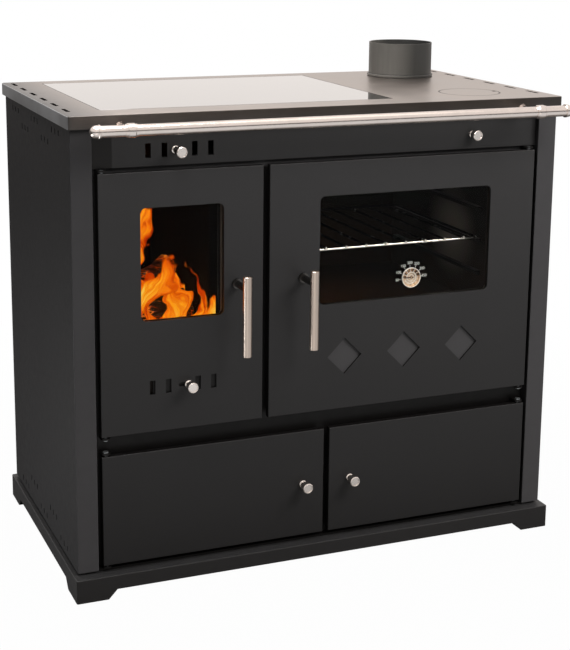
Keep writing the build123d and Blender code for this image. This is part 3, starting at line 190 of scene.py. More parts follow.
def brushed_steel(name, colour, roughness=0.3, along=(1.0, 60.0, 60.0), line_mm=0.8, lip=None,
                  rim=None):
    """Sheet steel brushed in one direction: long fine lines with a soft stretched gleam.

    along is the stretch of the pattern; the axis with 1 is the way the lines run.  Real brush
    lines are under 0.1 mm apart; they are drawn about 1 mm apart to show.  lip gives a height,
    the colour below it, which is painted shade on the folded edge, and the x past which
    the left end of the fold carries a painted highlight, next to a strip of the top with painted
    shade.
    rim is the middle and radius of a round lid, whose edge has been browned by the heat that
    comes up round it.
    """
    paled, painted_shade_grey, browned = "#c3c6ca", "#565555", "#4a423c"
    material, tree, place = new_material(name)
    unit = 1 / (line_mm * MM * max(along))
    stretch = add(tree, "Mapping", {"Vector": place, "Scale": tuple(a * unit for a in along)})
    lines = add(tree, "TexNoise", [stretch, 1.0, 3.0, 0.65])
    smear = add(tree, "TexNoise", [place, 9.0, 4.0, 0.6])
    both = add(tree, "Math", [lines, smear], "ADD")
    spread = add(tree, "MapRange", [both, 0.7, 1.3, 0.86, 1.12])
    ground = colour
    # painted shade on the folded lip below the top, a painted highlight on its left end and painted
    # shade on a strip of the top beside it
    if lip:
        lift = add(tree, "SeparateXYZ", [place])
        above = add(tree, "MapRange", [lift.outputs["Z"], lip[0] - 0.4 * MM, lip[0]])
        wear_and_light = add(tree, "MapRange", [lift.outputs["X"], lip[2], lip[2] - 0.6 * MM])
        fold = add(tree, "Mix", [wear_and_light, lip[1], paled])
        shaded_top = painted_light_split(tree, place, colour, ("X", lip[2] + 90 * MM, lip[2], painted_shade_grey))
        ground = add(tree, "Mix", [above, fold, shaded_top])
    if rim:
        away = add(tree, "VectorMath", [place, rim[0]], "DISTANCE")
        edge = add(tree, "MapRange", [away, rim[1] - 3.2 * MM, rim[1] - 1.8 * MM])
        ground = add(tree, "Mix", [edge, ground, browned])
    tint = add(tree, "Mix", [1.0, ground, spread], blend_type="MULTIPLY")
    dull = add(tree, "MapRange", [both, 0.7, 1.3, roughness - 0.05, roughness + 0.08])
    return finish(material, {"Base Color": tint, "Metallic": 1.0, "Roughness": dull},
                  relief=(lines, 0.25, 0.02 * MM))


def polished_steel(name, colour, roughness=0.14, marks_strength=0.12, painted_patch=None):
    """Turned and polished stainless steel: a bright mirror with faint lathe marks and fingerprints.

    painted_patch: painted shade, the wire is drawn dark away from its front, where it lies in shade
    inside the oven.
    """
    material, tree, place = new_material(name)
    marks = add(tree, "TexNoise", [place, 1 / (1.2 * MM), 2.0])
    prints = add(tree, "TexNoise", [place, 45.0, 5.0, 0.7])
    dull = add(tree, "MapRange", [prints, 0.35, 0.7, roughness - 0.05, roughness + 0.10])
    wear_and_light = add(tree, "MapRange", [prints, 0.3, 0.7, 0.9, 1.0])
    tint = add(tree, "Mix", [1.0, painted_light_split(tree, place, colour, painted_patch), wear_and_light],
               blend_type="MULTIPLY")
    return finish(material, {"Base Color": tint, "Metallic": 1.0, "Roughness": dull},
                  relief=(marks, marks_strength, 0.01 * MM))


def zinc_plate(name, colour="#9aa0a3"):
    """Zinc plated sheet: pale grey crystals a few millimetres wide, each with its own sheen."""
    material, tree, place = new_material(name)
    crystals = add(tree, "TexVoronoi", [place, 1 / (9 * MM)])
    grain = add(tree, "SeparateColor", [crystals.outputs["Color"]])
    tint = add(tree, "Mix", [grain.outputs["Red"], colour, "#b9bec1"])
    dull = add(tree, "MapRange", [grain.outputs["Green"], 0.0, 1.0, 0.35, 0.55])
    return finish(material, {"Base Color": tint, "Metallic": 0.9, "Roughness": dull},
                  relief=(grain.outputs["Blue"], 0.15, 0.02 * MM))


def cast_iron(name, colour="#2b2928"):
    """Sand cast iron, blacked: a coarse pitted skin that barely shines."""
    material, tree, place = new_material(name)
    sand = add(tree, "TexNoise", [place, 1 / (1.6 * MM), 5.0, 0.65])
    stain = add(tree, "TexNoise", [place, 28.0, 4.0])
    tint = add(tree, "Mix", [stain, colour, "#3b332d"])
    return finish(material, {"Base Color": tint, "Metallic": 0.25, "Roughness": 0.62},
                  relief=(sand, 0.6, 0.25 * MM))


def stove_paint(name, colour, painted_patch=None):
    """Silicone stove paint on a rolled pipe: matt grey with faint streaks that run down it.

    painted_patch: painted shade, the pipe is drawn darker on the side turned away from the light.
    """
    material, tree, place = new_material(name)
    stretch = add(tree, "Mapping", {"Vector": place, "Scale": (160.0, 160.0, 9.0)})
    streaks = add(tree, "TexNoise", [stretch, 1.0, 3.0])
    grit = add(tree, "TexNoise", [place, 1 / (0.8 * MM), 3.0])
    spread = add(tree, "MapRange", [streaks, 0.3, 0.7, 0.92, 1.08])
    tint = add(tree, "Mix", [1.0, painted_light_split(tree, place, colour, painted_patch), spread],
               blend_type="MULTIPLY")
    return finish(material, {"Base Color": tint, "Roughness": 0.42, "IOR": 1.5},
                  relief=(grit, 0.3, 0.05 * MM))


def ceramic_glass(name):
    """Black glass ceramic, rolled and polished: a flat black mirror with faint wiping smears."""
    material, tree, place = new_material(name)
    stretch = add(tree, "Mapping", {"Vector": place, "Scale": (7.0, 26.0, 10.0),
                                    "Rotation": (0, 0, 0.35)})
    smears = add(tree, "TexNoise", [stretch, 1.0, 5.0, 0.6])
    dull = add(tree, "MapRange", [smears, 0.4, 0.75, 0.025, 0.07])
    fleck = add(tree, "TexNoise", [place, 1 / (2.5 * MM), 2.0])
    tint = add(tree, "Mix", [fleck, "#08080a", "#15141a"])
    return finish(material, {"Base Color": tint, "Roughness": dull, "IOR": 1.6,
                             "Specular Tint": (1.0, 0.975, 0.955, 1.0), "Coat Weight": 1.0,
                             "Coat Roughness": 0.03, "Coat IOR": 1.6})


def stove_glass(name, colour):
    """Heat proof window glass: clear, with the faint uneven haze that a fire leaves on it."""
    material, tree, place = new_material(name)
    haze = add(tree, "TexNoise", [place, 14.0, 4.0])
    tint = add(tree, "Mix", [haze, colour, "#dcd6d0"])
    dull = add(tree, "MapRange", [haze, 0.55, 0.85, 0.0, 0.03])
    return finish(material, {"Base Color": tint, "Roughness": dull, "IOR": 1.47,
                             "Specular Tint": (0.04, 0.04, 0.04, 1.0), "Transmission Weight": 1.0})


def oven_enamel(name, grey_spot):
    """Vitreous enamel, fired on steel: near black with fine specks, browned low on the left.

    grey_spot is the place on the right wall around which the enamel turns a soft grey.
    """
    material, tree, place = new_material(name)
    specks = add(tree, "TexVoronoi", [place, 1 / (4 * MM)])
    dots = add(tree, "MapRange", [specks, 0.06, 0.10, 0.5, 0.0])
    warm = add(tree, "TexNoise", [place, 6.0, 3.0])
    side = add(tree, "SeparateXYZ", [place])
    low = add(tree, "MapRange", [side.outputs["Z"], 0.50, 0.60, 1.0, 0.0])
    left = add(tree, "MapRange", [side.outputs["X"], 0.05, 0.30, 1.0, 0.3])
    corner = add(tree, "Math", [low, left], "MULTIPLY")
    baked = add(tree, "Math", [corner, warm], "MULTIPLY")
    ground = add(tree, "Mix", [baked, "#020202", "#6a4a30"])
    away = add(tree, "VectorMath", [place, grey_spot], "DISTANCE")
    paled = add(tree, "MapRange", [away, 10 * MM, 110 * MM, 0.9, 0.0],
                 interpolation_type="SMOOTHSTEP")
    grey = add(tree, "Mix", [paled, ground, "#a5a19b"])
    tint = add(tree, "Mix", [dots, grey, "#0c0b0b"])
    ripple = add(tree, "TexNoise", [place, 1 / (12 * MM), 2.0])
    return finish(material, {"Base Color": tint, "Roughness": 0.5, "IOR": 1.52,
                             "Specular IOR Level": 0.1}, relief=(ripple, 0.2, 0.2 * MM))


def vermiculite(name):
    """Pressed vermiculite fire board: sandy flakes under a coat of soot, near black."""
    material, tree, place = new_material(name)
    flakes = add(tree, "TexVoronoi", [place, 1 / (3 * MM)])
    grain = add(tree, "SeparateColor", [flakes.outputs["Color"]])
    soot = add(tree, "TexNoise", [place, 9.0, 5.0, 0.6])
    base = add(tree, "Mix", [grain.outputs["Red"], "#6f5c42", "#8a7856"])
    dirty = add(tree, "MapRange", [soot, 0.25, 0.5, 0.95, 1.0])
    tint = add(tree, "Mix", [dirty, base, "#040303"])
    return finish(material, {"Base Color": tint, "Roughness": 0.95, "IOR": 1.45,
                             "Specular IOR Level": 0.1},
                  relief=(grain.outputs["Green"], 0.4, 0.3 * MM))


def rope_fibre(name):
    """Braided glass fibre rope: matt grey-white yarn, greyed where it presses on the frame."""
    material, tree, place = new_material(name)
    yarn = add(tree, "TexNoise", [place, 1 / (0.5 * MM), 3.0])
    wear = add(tree, "TexNoise", [place, 30.0, 4.0])
    pale = add(tree, "Mix", [yarn, "#55504a", "#9b948a"])
    tint = add(tree, "Mix", [wear, pale, "#4a443d"])
    return finish(material, {"Base Color": tint, "Roughness": 0.92, "IOR": 1.5,
                             "Sheen Weight": 0.3}, relief=(yarn, 0.7, 0.2 * MM))


def black_rubber(name):
    """Moulded heat proof sealing strip: dull black with a fine grain."""
    material, tree, place = new_material(name)
    grain = add(tree, "TexNoise", [place, 1 / (0.7 * MM), 3.0])
    tint = add(tree, "Mix", [grain, "#0d0d0e", "#1b1a1a"])
    return finish(material, {"Base Color": tint, "Roughness": 0.7, "IOR": 1.45},
                  relief=(grain, 0.3, 0.05 * MM))


def dial_metal(name, centre):
    """Lacquered brass dial: brown and cream spokes fan over its upper half, cream satin below.

    The eye also gets a thin white ring near its edge and a white ray towards each number.  Radii
    and angles are measured from the dial's own middle; a spoke of each colour covers a
    fourteenth of the upper half turn.
    """
    material, tree, place = new_material(name)
    middle = add(tree, "Mapping", {"Vector": place, "Location": tuple(-c for c in centre)})
    parts = add(tree, "SeparateXYZ", [middle])
    flat = add(tree, "CombineXYZ", {"X": parts.outputs["X"], "Z": parts.outputs["Z"]})
    radius = add(tree, "VectorMath", [flat], "LENGTH")
    angle = add(tree, "Math", [parts.outputs["Z"], parts.outputs["X"]], "ARCTAN2")
    turns = add(tree, "Math", [angle, 14.0], "MULTIPLY")
    spokes = add(tree, "Math", [turns], "SINE")
    fan = add(tree, "MapRange", [spokes, -0.4, 0.5])
    above = add(tree, "MapRange", [parts.outputs["Z"], -1 * MM, 1.5 * MM])
    outside = add(tree, "MapRange", [radius, 7 * MM, 8 * MM])
    printed = add(tree, "Math", [above, outside], "MULTIPLY")
    spoked = add(tree, "Mix", [fan, "#3d2416", "#a9845c"])
    grime = add(tree, "TexNoise", [place, 260.0, 3.0])
    cream = add(tree, "Mix", [grime, "#c49e78", "#f3e2c8"])
    face = add(tree, "Mix", [printed, cream, spoked])
    edge = add(tree, "MapRange", [radius, 17.2 * MM, 17.7 * MM])
    phase = add(tree, "Math", [angle, 180 / DIAL_STEP, -0.31], "MULTIPLY_ADD")
    wave = add(tree, "Math", [phase], "SINE")
    near = add(tree, "Math", [wave], "ABSOLUTE")
    across = add(tree, "Math", [near, radius], "MULTIPLY")
    line = add(tree, "MapRange", [across, 2.2 * MM, 3.2 * MM, 1.0, 0.0])
    rays = add(tree, "Math", [line, printed], "MULTIPLY")
    white = add(tree, "Math", [edge, rays], "MAXIMUM")
    tint = add(tree, "Mix", [white, face, "#f4efe6"])
    dull = add(tree, "MapRange", [grime, 0.0, 1.0, 0.2, 0.38])
    return finish(material, {"Base Color": tint, "Metallic": 0.35, "Roughness": dull})


def printed_ink(name, colour):
    """Fired-on screen print: a flat pale grey line, slightly uneven where the ink is thin."""
    material, tree, place = new_material(name)
    thin = add(tree, "TexNoise", [place, 1 / (1.1 * MM), 2.0])
    tint = add(tree, "Mix", [thin, colour, "#dcdcd6"])
    return finish(material, {"Base Color": tint, "Roughness": 0.55, "IOR": 1.5})


def charred_wood(name):
    """Split logs on fire: black charcoal checks with orange embers glowing in the cracks."""
    material, tree, place = new_material(name)
    stretch = add(tree, "Mapping", {"Vector": place, "Scale": (40.0, 110.0, 110.0)})
    checks = add(tree, "TexVoronoi", [stretch, 1.0], feature="DISTANCE_TO_EDGE")
    heat = add(tree, "TexNoise", [place, 22.0, 3.0])
    crack = add(tree, "MapRange", [checks, 0.0, 0.10, 1.0, 0.0])
    warm = add(tree, "MapRange", [heat, 0.42, 0.62])
    glow = add(tree, "Math", [crack, warm], "MULTIPLY")
    ember = add(tree, "ValToRGB", [glow],
                stops=[(0.0, "#000000"), (0.25, "#5c1400"), (0.6, "#e05200"), (1.0, "#ffb13a")])
    tint = add(tree, "Mix", [heat, "#0c0908", "#3a2a20"])
    return finish(material, {"Base Color": tint, "Roughness": 0.9, "Emission Color": ember,
                             "Emission Strength": 1.0}, relief=(checks, 0.9, 2.0 * MM))


def glowing_embers(name):
    """Bed of embers under the logs: grey ash lumps over an orange glow."""
    material, tree, place = new_material(name)
    lumps = add(tree, "TexVoronoi", [place, 1 / (9 * MM)], feature="DISTANCE_TO_EDGE")
    heat = add(tree, "TexNoise", [place, 35.0, 3.0])
    gap = add(tree, "MapRange", [lumps, 0.0, 0.25, 1.0, 0.1])
    glow = add(tree, "Math", [gap, heat], "MULTIPLY")
    ember = add(tree, "ValToRGB", [glow],
                stops=[(0.08, "#000000"), (0.2, "#7a1c00"), (0.4, "#f06a08"), (0.62, "#ffc04a")])
    tint = add(tree, "Mix", [lumps, "#141110", "#6a625b"])
    return finish(material, {"Base Color": tint, "Roughness": 0.95, "Emission Color": ember,
                             "Emission Strength": 1.0})


def flame(name, foot, height, seed):
    """Wood flame: clear where it is thin, deep orange at its edge, yellow in its streaked heart.

    The density is drawn-out noise on the piece's own coordinates less the height above the
    logs, so tongues stand at the foot and break up towards the tip.
    """
    material, tree, place = new_material(name)
    lift = add(tree, "SeparateXYZ", [place])
    height_now = add(tree, "MapRange", [lift.outputs["Z"], foot, foot + height], clamp=True)
    sway = add(tree, "TexNoise", {"Vector": place, "W": seed, "Scale": 13.0, "Detail": 2.5},
               noise_dimensions="4D")
    push = add(tree, "VectorMath", [sway.outputs["Color"], (0.5, 0.5, 0.5)], "SUBTRACT")
    bend = add(tree, "VectorMath", [push, (0.17, 0.0, 0.12)], "MULTIPLY")
    bent = add(tree, "VectorMath", [place, bend], "ADD")
    drawn = add(tree, "Mapping", {"Vector": bent, "Scale": (24.0, 24.0, 10.0)})
    tongues = add(tree, "TexNoise", {"Vector": drawn, "W": seed * 1.7 + 3.0, "Scale": 1.0,
                                     "Detail": 0.8, "Roughness": 0.45}, noise_dimensions="4D")
    fine = add(tree, "Mapping", {"Vector": bent, "Scale": (95.0, 95.0, 17.0)})
    streaks = add(tree, "TexNoise", {"Vector": fine, "W": seed + 8.0, "Scale": 1.0, "Detail": 3.5,
                                     "Roughness": 0.6, "Distortion": 0.8}, noise_dimensions="4D")
    full = add(tree, "MapRange", [height_now, 0.0, 1.0, 0.13, -0.17])
    body = add(tree, "Math", [tongues, full], "ADD")
    mask = add(tree, "MapRange", [body, 0.55, 0.575], interpolation_type="SMOOTHSTEP")
    heart = add(tree, "MapRange", [body, 0.55, 0.74, 0.02, 0.5])
    thread = add(tree, "MapRange", [streaks, 0.36, 0.66, 0.0, 0.5])
    heat = add(tree, "Math", [heart, thread], "ADD")
    ramp = add(tree, "ValToRGB", [heat],
               stops=[(0.0, "#6e1400"), (0.16, "#c23600"), (0.38, "#f27206"), (0.62, "#ffa418"),
                      (0.95, "#ffdc5c")])
    return finish(material, {"Base Color": "#000000", "Roughness": 1.0, "Specular IOR Level": 0.0,
                             "Emission Color": ramp, "Emission Strength": 1.1, "Alpha": mask})


# ---------------------------------------------------------------- shapes
def sheet_mesh(name, x, y, z, wrap_rows=False, wrap_columns=False, flip=False):
    """Mesh of a surface whose x, y and z are given over rows and columns.

    Face (i, j) joins the points (i, j), (i, j+1), (i+1, j+1), (i+1, j); wrapping joins the last
    row or column to the first.  Points that coincide are merged, which closes poles and seams.
    """
    points = np.stack(np.broadcast_arrays(x, y, z), axis=-1)
    rows, columns = points.shape[:2]
    index = np.arange(rows * columns).reshape(rows, columns)
    if wrap_rows:
        index = np.vstack([index, index[:1]])
    if wrap_columns:
        index = np.hstack([index, index[:, :1]])
    corners = [index[:-1, :-1], index[:-1, 1:], index[1:, 1:], index[1:, :-1]]
    if flip:
        corners.reverse()
    quads = np.stack(corners, axis=-1).reshape(-1, 4)
    mesh = bpy.data.meshes.new(name)
    mesh.vertices.add(rows * columns)
    mesh.vertices.foreach_set("co", points.reshape(-1).astype(np.float32))
    mesh.loops.add(quads.size)
    mesh.loops.foreach_set("vertex_index", quads.reshape(-1).astype(np.int32))
    mesh.polygons.add(len(quads))
    mesh.polygons.foreach_set("loop_start", np.arange(0, quads.size, 4, dtype=np.int32))
    mesh.update(calc_edges=True)
    merged = bmesh.new()
    merged.from_mesh(mesh)
    bmesh.ops.remove_doubles(merged, verts=merged.verts, dist=1e-7)
    bmesh.ops.dissolve_degenerate(merged, edges=merged.edges, dist=1e-8)
    merged.to_mesh(mesh)
    merged.free()
    mesh.polygons.foreach_set("use_smooth", np.ones(len(mesh.polygons), dtype=bool))
    return mesh


def place_piece(name, meshes, material, body, replaces=()):
    """Join meshes into one piece at the origin, and give it its material, body and finish."""
    whole = bmesh.new()
    for mesh in meshes:
        whole.from_mesh(mesh)
        bpy.data.meshes.remove(mesh)
    data = bpy.data.meshes.new(name)
    whole.to_mesh(data)
    whole.free()
    piece = bpy.data.objects.new(name, data)
    bpy.context.scene.collection.objects.link(piece)
    data.materials.append(material)
    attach(piece, body)
    if replaces:
        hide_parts(*replaces)
    return piece


def ring(count):
    """Angles of equal steps round a circle, as one row."""
    return np.linspace(0, TAU, count, endpoint=False)[None, :]


def wavy(shape_u, shape_v, seed, count=6):
    """Smooth uneven field: the mean of count sines of a*u + b*v + c, with seeded a, b and c."""
    draw = np.random.default_rng(seed)
    a = draw.uniform(1.0, 5.0, count)[:, None, None]
    b = draw.integers(1, 6, count)[:, None, None]
    c = draw.uniform(0, TAU, count)[:, None, None]
    return np.sin(a * shape_u + b * shape_v + c).mean(axis=0)


def rounded_loop(low, high, radius, step):
    """Points and outward normals on a rectangle with rounded corners, at equal steps.

    The loop is parameterised by arc length: straight runs and quarter turns of the radius.
    Returns the arc length, the whole length, and both axes of the points and the normals.
    """
    width, height = high[0] - low[0] - 2 * radius, high[1] - low[1] - 2 * radius
    turn = radius * math.pi / 2
    runs = np.array([width, turn, height, turn, width, turn, height, turn])
    ends = np.cumsum(runs)
    along = np.linspace(0, ends[-1], int(ends[-1] / step), endpoint=False)
    part = np.searchsorted(ends, along, side="right")
    local = along - (ends - runs)[part]
    side = part // 2
    middle_x = np.array([low[0] + radius, high[0] - radius, high[0] - radius, low[0] + radius])
    middle_z = np.array([low[1] + radius, low[1] + radius, high[1] - radius, high[1] - radius])
    heading = side * math.pi / 2
    straight = part % 2 == 0
    angle = heading - math.pi / 2 + np.where(straight, 0.0, local / max(radius, 1e-9))
    corner = np.where(straight, side, (side + 1) % 4)
    move = np.where(straight, local, 0.0)
    x = middle_x[corner] + radius * np.cos(angle) + move * np.cos(heading)
    z = middle_z[corner] + radius * np.sin(angle) + move * np.sin(heading)
    columns = [value[:, None] for value in (along, x, z, np.cos(angle), np.sin(angle))]
    return columns[0], ends[-1], *columns[1:]


def rope_mesh(name, node, width, strand_mm):
    """Braided rope round a door: an ellipse carried along the rounded loop of the node's box.

    Its radius is 0.90 + 0.10 * max(|cos(3 t + k s)|, |cos(3 t - k s)|), which is two sets of
    strands that cross, with t the angle in the section and s the length along the loop.
    """
    low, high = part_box(node)
    half = width / 2
    step = 0.9 * MM
    along, length, x, z, out_x, out_z = rounded_loop(
        (low.x + half, low.z + half), (high.x - half, high.z - half), 20 * MM - half, step)
    pitch = length / round(length / (strand_mm * MM))
    t = ring(22)
    s = along * math.pi / pitch
    weave = np.maximum(np.abs(np.cos(3 * t + s)), np.abs(np.cos(3 * t - s)))
    radius = 0.90 + 0.10 * weave
    depth = (high.y - low.y) / 2
    sideways = half * radius * np.cos(t)
    back = depth * radius * np.sin(t)
    return sheet_mesh(name, x + out_x * sideways, (low.y + depth) + back, z + out_z * sideways,
                      wrap_rows=True, wrap_columns=True, flip=True)


def seal_mesh(name, low, high, radius, width, bottom, top):
    """Sealing strip in the gap round the hob glass: a low rounded ridge carried along a loop.

    Its section is width * (cos a) across and, above its foot, (top - bottom) * max(0, sin a).
    """
    x, y, out_x, out_y = rounded_loop(low, high, radius, 6 * MM)[2:]
    a = np.linspace(-0.35, math.pi + 0.35, 9)[None, :]
    across = width / 2 * np.cos(a)
    up = bottom + (top - bottom) * np.clip(np.sin(a), 0, 1)
    return sheet_mesh(name, x + out_x * across, y + out_y * across, up, wrap_rows=True,
                      wrap_columns=True)


def screw_head_mesh(name, centre, radius, height):
    """Cross-head screw: height * (1 - 0.35 (r / R)^4), less a cross shaped recess.

    The recess is 0.6 * height deep where |x| or |z| is under 0.15 R and r is under 0.62 R.
    The head looks to +Y and its rim drops straight to the seat.
    """
    r = np.concatenate([np.linspace(0, radius, 22), [radius, radius]])[:, None]
    t = ring(64)
    x, z = r * np.cos(t), r * np.sin(t)
    dome = height * (1 - 0.35 * (r / radius) ** 4)
    arm = np.minimum(np.abs(x), np.abs(z))
    cross = (arm < 0.15 * radius) & (r < 0.62 * radius)
    up = np.where(cross, dome - 0.6 * height, dome)
    up[-2:] = np.array([[0.5 * height], [0.0]])
    return sheet_mesh(name, centre[0] + x, centre[1] + up, centre[2] + z, wrap_columns=True,
                      flip=True)


def screw_heads(node, radius, columns, rows):
    """Screw heads on an even grid that fills a node's box."""
    low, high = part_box(node)
    return [screw_head_mesh("head", (x, low.y, z), radius, high.y - low.y)
            for x in np.linspace(low.x + radius, high.x - radius, columns)
            for z in np.linspace(low.z + radius, high.z - radius, rows)]


def wire_tip_mesh(name, foot, radius, reach, rise):
    """Upturned end of a rack wire, swept round C(s) = foot + (0, -reach sin a, rise (1 - cos a)).

    a = pi s / 2; the radius is R sqrt(1 - (2 s - 1)^12), so both ends close in a small dome.
    """
    s = np.linspace(0, 1, 26)[:, None]
    t = ring(20)
    bend = math.pi / 2 * s
    r = radius * np.sqrt(1 - np.abs(2 * s - 1) ** 12)
    # the ring lies across the sweep: one axis is X, the other turns with the bend
    x = foot[0] + r * np.cos(t)
    y = foot[1] - reach * np.sin(bend) + r * np.sin(t) * np.sin(bend)
    z = foot[2] + rise * (1 - np.cos(bend)) + r * np.sin(t) * np.cos(bend)
    return sheet_mesh(name, x, y, z, wrap_columns=True, flip=True)


def log_mesh(name, start, end, radius, seed):
    """Split log between two points: r(s, t) = R (0.9 + 0.16 w + 0.06 v), closed at its ends.

    w is a broad uneven field and v a ridged one that follows the grain.  Where the log is split,
    over cos(t - seed) > 0.55, the radius shrinks to a flat face.  The axis bows sideways by 0.06
    of its length times sin(pi s).
    """
    start, end = np.array(start), np.array(end)
    axis = end - start
    length = np.linalg.norm(axis)
    axis = axis / length
    side = np.cross(axis, [0, 0, 1.0])
    side = side / np.linalg.norm(side)
    up = np.cross(side, axis)
    s = np.concatenate([[0, 0, 0], np.linspace(0, 1, 90), [1, 1, 1]])[:, None]
    close = np.concatenate([[0, 0.55, 0.9], np.ones(90), [0.9, 0.55, 0]])[:, None]
    t = ring(56)
    broad = wavy(3 * s, t, seed)
    ridge = np.abs(np.sin(9 * t + 2.5 * wavy(5 * s, t, seed + 1)))
    split = np.where(np.cos(t - seed) > 0.55, 0.55 / np.clip(np.cos(t - seed), 0.55, 1), 1.0)
    r = radius * close * split * (0.9 + 0.16 * broad + 0.06 * ridge)
    bow = 0.06 * length * np.sin(math.pi * s)
    points = (start + axis * (length * s)[..., None] + side * (r * np.cos(t) + bow)[..., None]
              + up * (r * np.sin(t))[..., None])
    return sheet_mesh(name, *np.moveaxis(points, -1, 0), wrap_columns=True)


def ember_mesh(name, low, high, base, rise):
    """Ember bed: z(u, v) = base + rise * h * (0.55 + 0.9 |w|), with h 0 at its edge, w uneven."""
    u = np.linspace(0, 1, 70)[:, None]
    v = np.linspace(0, 1, 100)[None, :]
    heap = np.clip(np.sin(math.pi * u) * np.sin(math.pi * v), 0, 1) ** 0.35
    lumps = np.abs(wavy(16 * u, 9 * v, 5, 9))
    z = base + rise * heap * (0.55 + 0.9 * lumps)
    return sheet_mesh(name, low[0] + (high[0] - low[0]) * u, low[1] + (high[1] - low[1]) * v, z)


def flame_mesh(name, left, right, foot, height, depth, sway, seed):
    """Standing flame sheet: y(u, v) = depth + sway * (0.3 + v) * w(u, v), a rippling curtain."""
    u = np.linspace(0, 1, 60)[None, :]
    v = np.linspace(0, 1, 80)[:, None]
    y = depth + sway * (0.3 + v) * wavy(2.5 * v, 1.2 * u, seed)
    return sheet_mesh(name, left + (right - left) * u, y, foot + height * v)


def coil_mesh(name, centre, inner, outer, turns, width, back, front):
    """Bimetal coil: a flat strip on the spiral r(s) = inner + (outer - inner) s over its turns.

    The strip's width grows from a third to the whole along the spiral, w(s) = width (1 + 2 s) / 3.
    """
    s = np.linspace(0, 1, int(90 * turns))[:, None]
    angle = -TAU * turns * s - 0.9
    radius = inner + (outer - inner) * s
    side = np.array([[-1, 1, 1, -1]]) * width * (1 + 2 * s) / 6
    y = np.array([[back, back, front, front]])
    close = np.ones_like(s)
    close[0] = close[-1] = 0
    x = centre[0] + (radius + side * close) * np.cos(angle)
    z = centre[2] + (radius + side * close) * np.sin(angle)
    y = (back + front) / 2 + (y - (back + front) / 2) * close
    return sheet_mesh(name, x, y, z, wrap_columns=True, flip=True)


def tick_mesh(name, centre, angle, inner, outer, width, back, front):
    """Printed dial tick: a bar from radius inner to outer, 0.7 of its width at the inner end."""
    radial = np.linspace(inner, outer, 9)[:, None]
    half = np.linspace(0.35, 0.5, 9)[:, None] * width
    radial = np.vstack([radial[:1], radial, radial[-1:]])
    half = np.vstack([0 * half[:1], half, 0 * half[-1:]])
    side = np.array([[-1, 1, 1, -1]])
    y = np.array([[back, back, front, front]]) + 0 * radial
    y[0] = y[-1] = (back + front) / 2
    x = centre[0] + radial * math.cos(angle) - side * half * math.sin(angle)
    z = centre[2] + radial * math.sin(angle) + side * half * math.cos(angle)
    return sheet_mesh(name, x, y, z, wrap_columns=True, flip=True)


def number_mesh(text, centre, size, depth, back):
    """Dial number as a thin printed plate, centred at a point and read from -Y."""
    curve = bpy.data.curves.new("number_" + text, "FONT")
    curve.body = text
    curve.size = size
    curve.align_x = "CENTER"
    curve.align_y = "CENTER"
    curve.extrude = depth / 2
    holder = bpy.data.objects.new("number_" + text, curve)
    bpy.context.scene.collection.objects.link(holder)
    bpy.context.view_layer.update()
    mesh = bpy.data.meshes.new_from_object(holder)
    bpy.data.objects.remove(holder)
    bpy.data.curves.remove(curve)
    turn = Matrix.Rotation(math.pi / 2, 4, "X")
    mesh.transform(Matrix.Translation(Vector((centre[0], back - depth / 2, centre[2]))) @ turn)
    return mesh


# ---------------------------------------------------------------- what a user may change
class CookstoveSizes(bpy.types.PropertyGroup):
    """Sizes of the pieces that are made here."""

    rope_width: FloatProperty(
        name="Rope width", description="Width of the rope seal on a door", default=9 * MM,
        subtype="DISTANCE", unit="LENGTH")
    rope_strand: FloatProperty(
        name="Rope strand pitch", description="Length of one crossing of the braid, millimetres",
        default=7.0)
    seal_width: FloatProperty(
        name="Hob seal width", description="Width of the strip between hob and glass",
        default=1.4 * MM, subtype="DISTANCE", unit="LENGTH")
    log_radius: FloatProperty(
        name="Log radius", description="Half thickness of the split logs", default=26 * MM,
        subtype="DISTANCE", unit="LENGTH")
    flame_height: FloatProperty(
        name="Flame height", description="From the embers to the tips", default=215 * MM,
        subtype="DISTANCE", unit="LENGTH")
    scale_radius: FloatProperty(
        name="Scale radius", description="Thermometer's middle to its numbers",
        default=27.5 * MM, subtype="DISTANCE", unit="LENGTH")
    number_height: FloatProperty(
        name="Number size", description="Type size of the thermometer's numbers",
        default=7.2 * MM, subtype="DISTANCE", unit="LENGTH")


class CookstoveColours(bpy.types.PropertyGroup):
    """Main colours, as sRGB hex codes."""

    coat: StringProperty(
        name="Powder coat", description="Plinth and fascia", default="#29292a")
    coat_doors: StringProperty(
        name="Door coat", description="The four doors", default="#242425")
    coat_diamonds: StringProperty(
        name="Diamond coat", description="Backing of the oven door's diamonds", default="#3e3e40")
    coat_sides: StringProperty(
        name="Side coat", description="Side and back panels", default="#212122")
    # painted light: the columns' front faces are drawn lighter than the sides of the same sheet
    coat_columns_lit: StringProperty(
        name="Column coat", description="Faces of the two front columns", default="#38383a")
    coat_inside: StringProperty(
        name="Inner coat", description="Front frame behind the doors", default="#0d0c0c")
    hob: StringProperty(
        name="Hob steel", description="Hob plate and round lid", default="#aba29c")
    # painted shade: the folded edge is drawn darker than the top of the same sheet
    hob_lip: StringProperty(
        name="Hob lip", description="Folded edge of the hob plate", default="#56524f")
    bright: StringProperty(
        name="Bright steel", description="Rail and knobs", default="#f1e9e3")
    rail: StringProperty(
        name="Rail steel", description="Towel rail and its fittings", default="#ebe1db")
    handle: StringProperty(
        name="Handle steel", description="Brushed bar handles", default="#c9baae")
    pipe: StringProperty(
        name="Flue paint", description="Flue spigot and collar", default="#5c5a56")


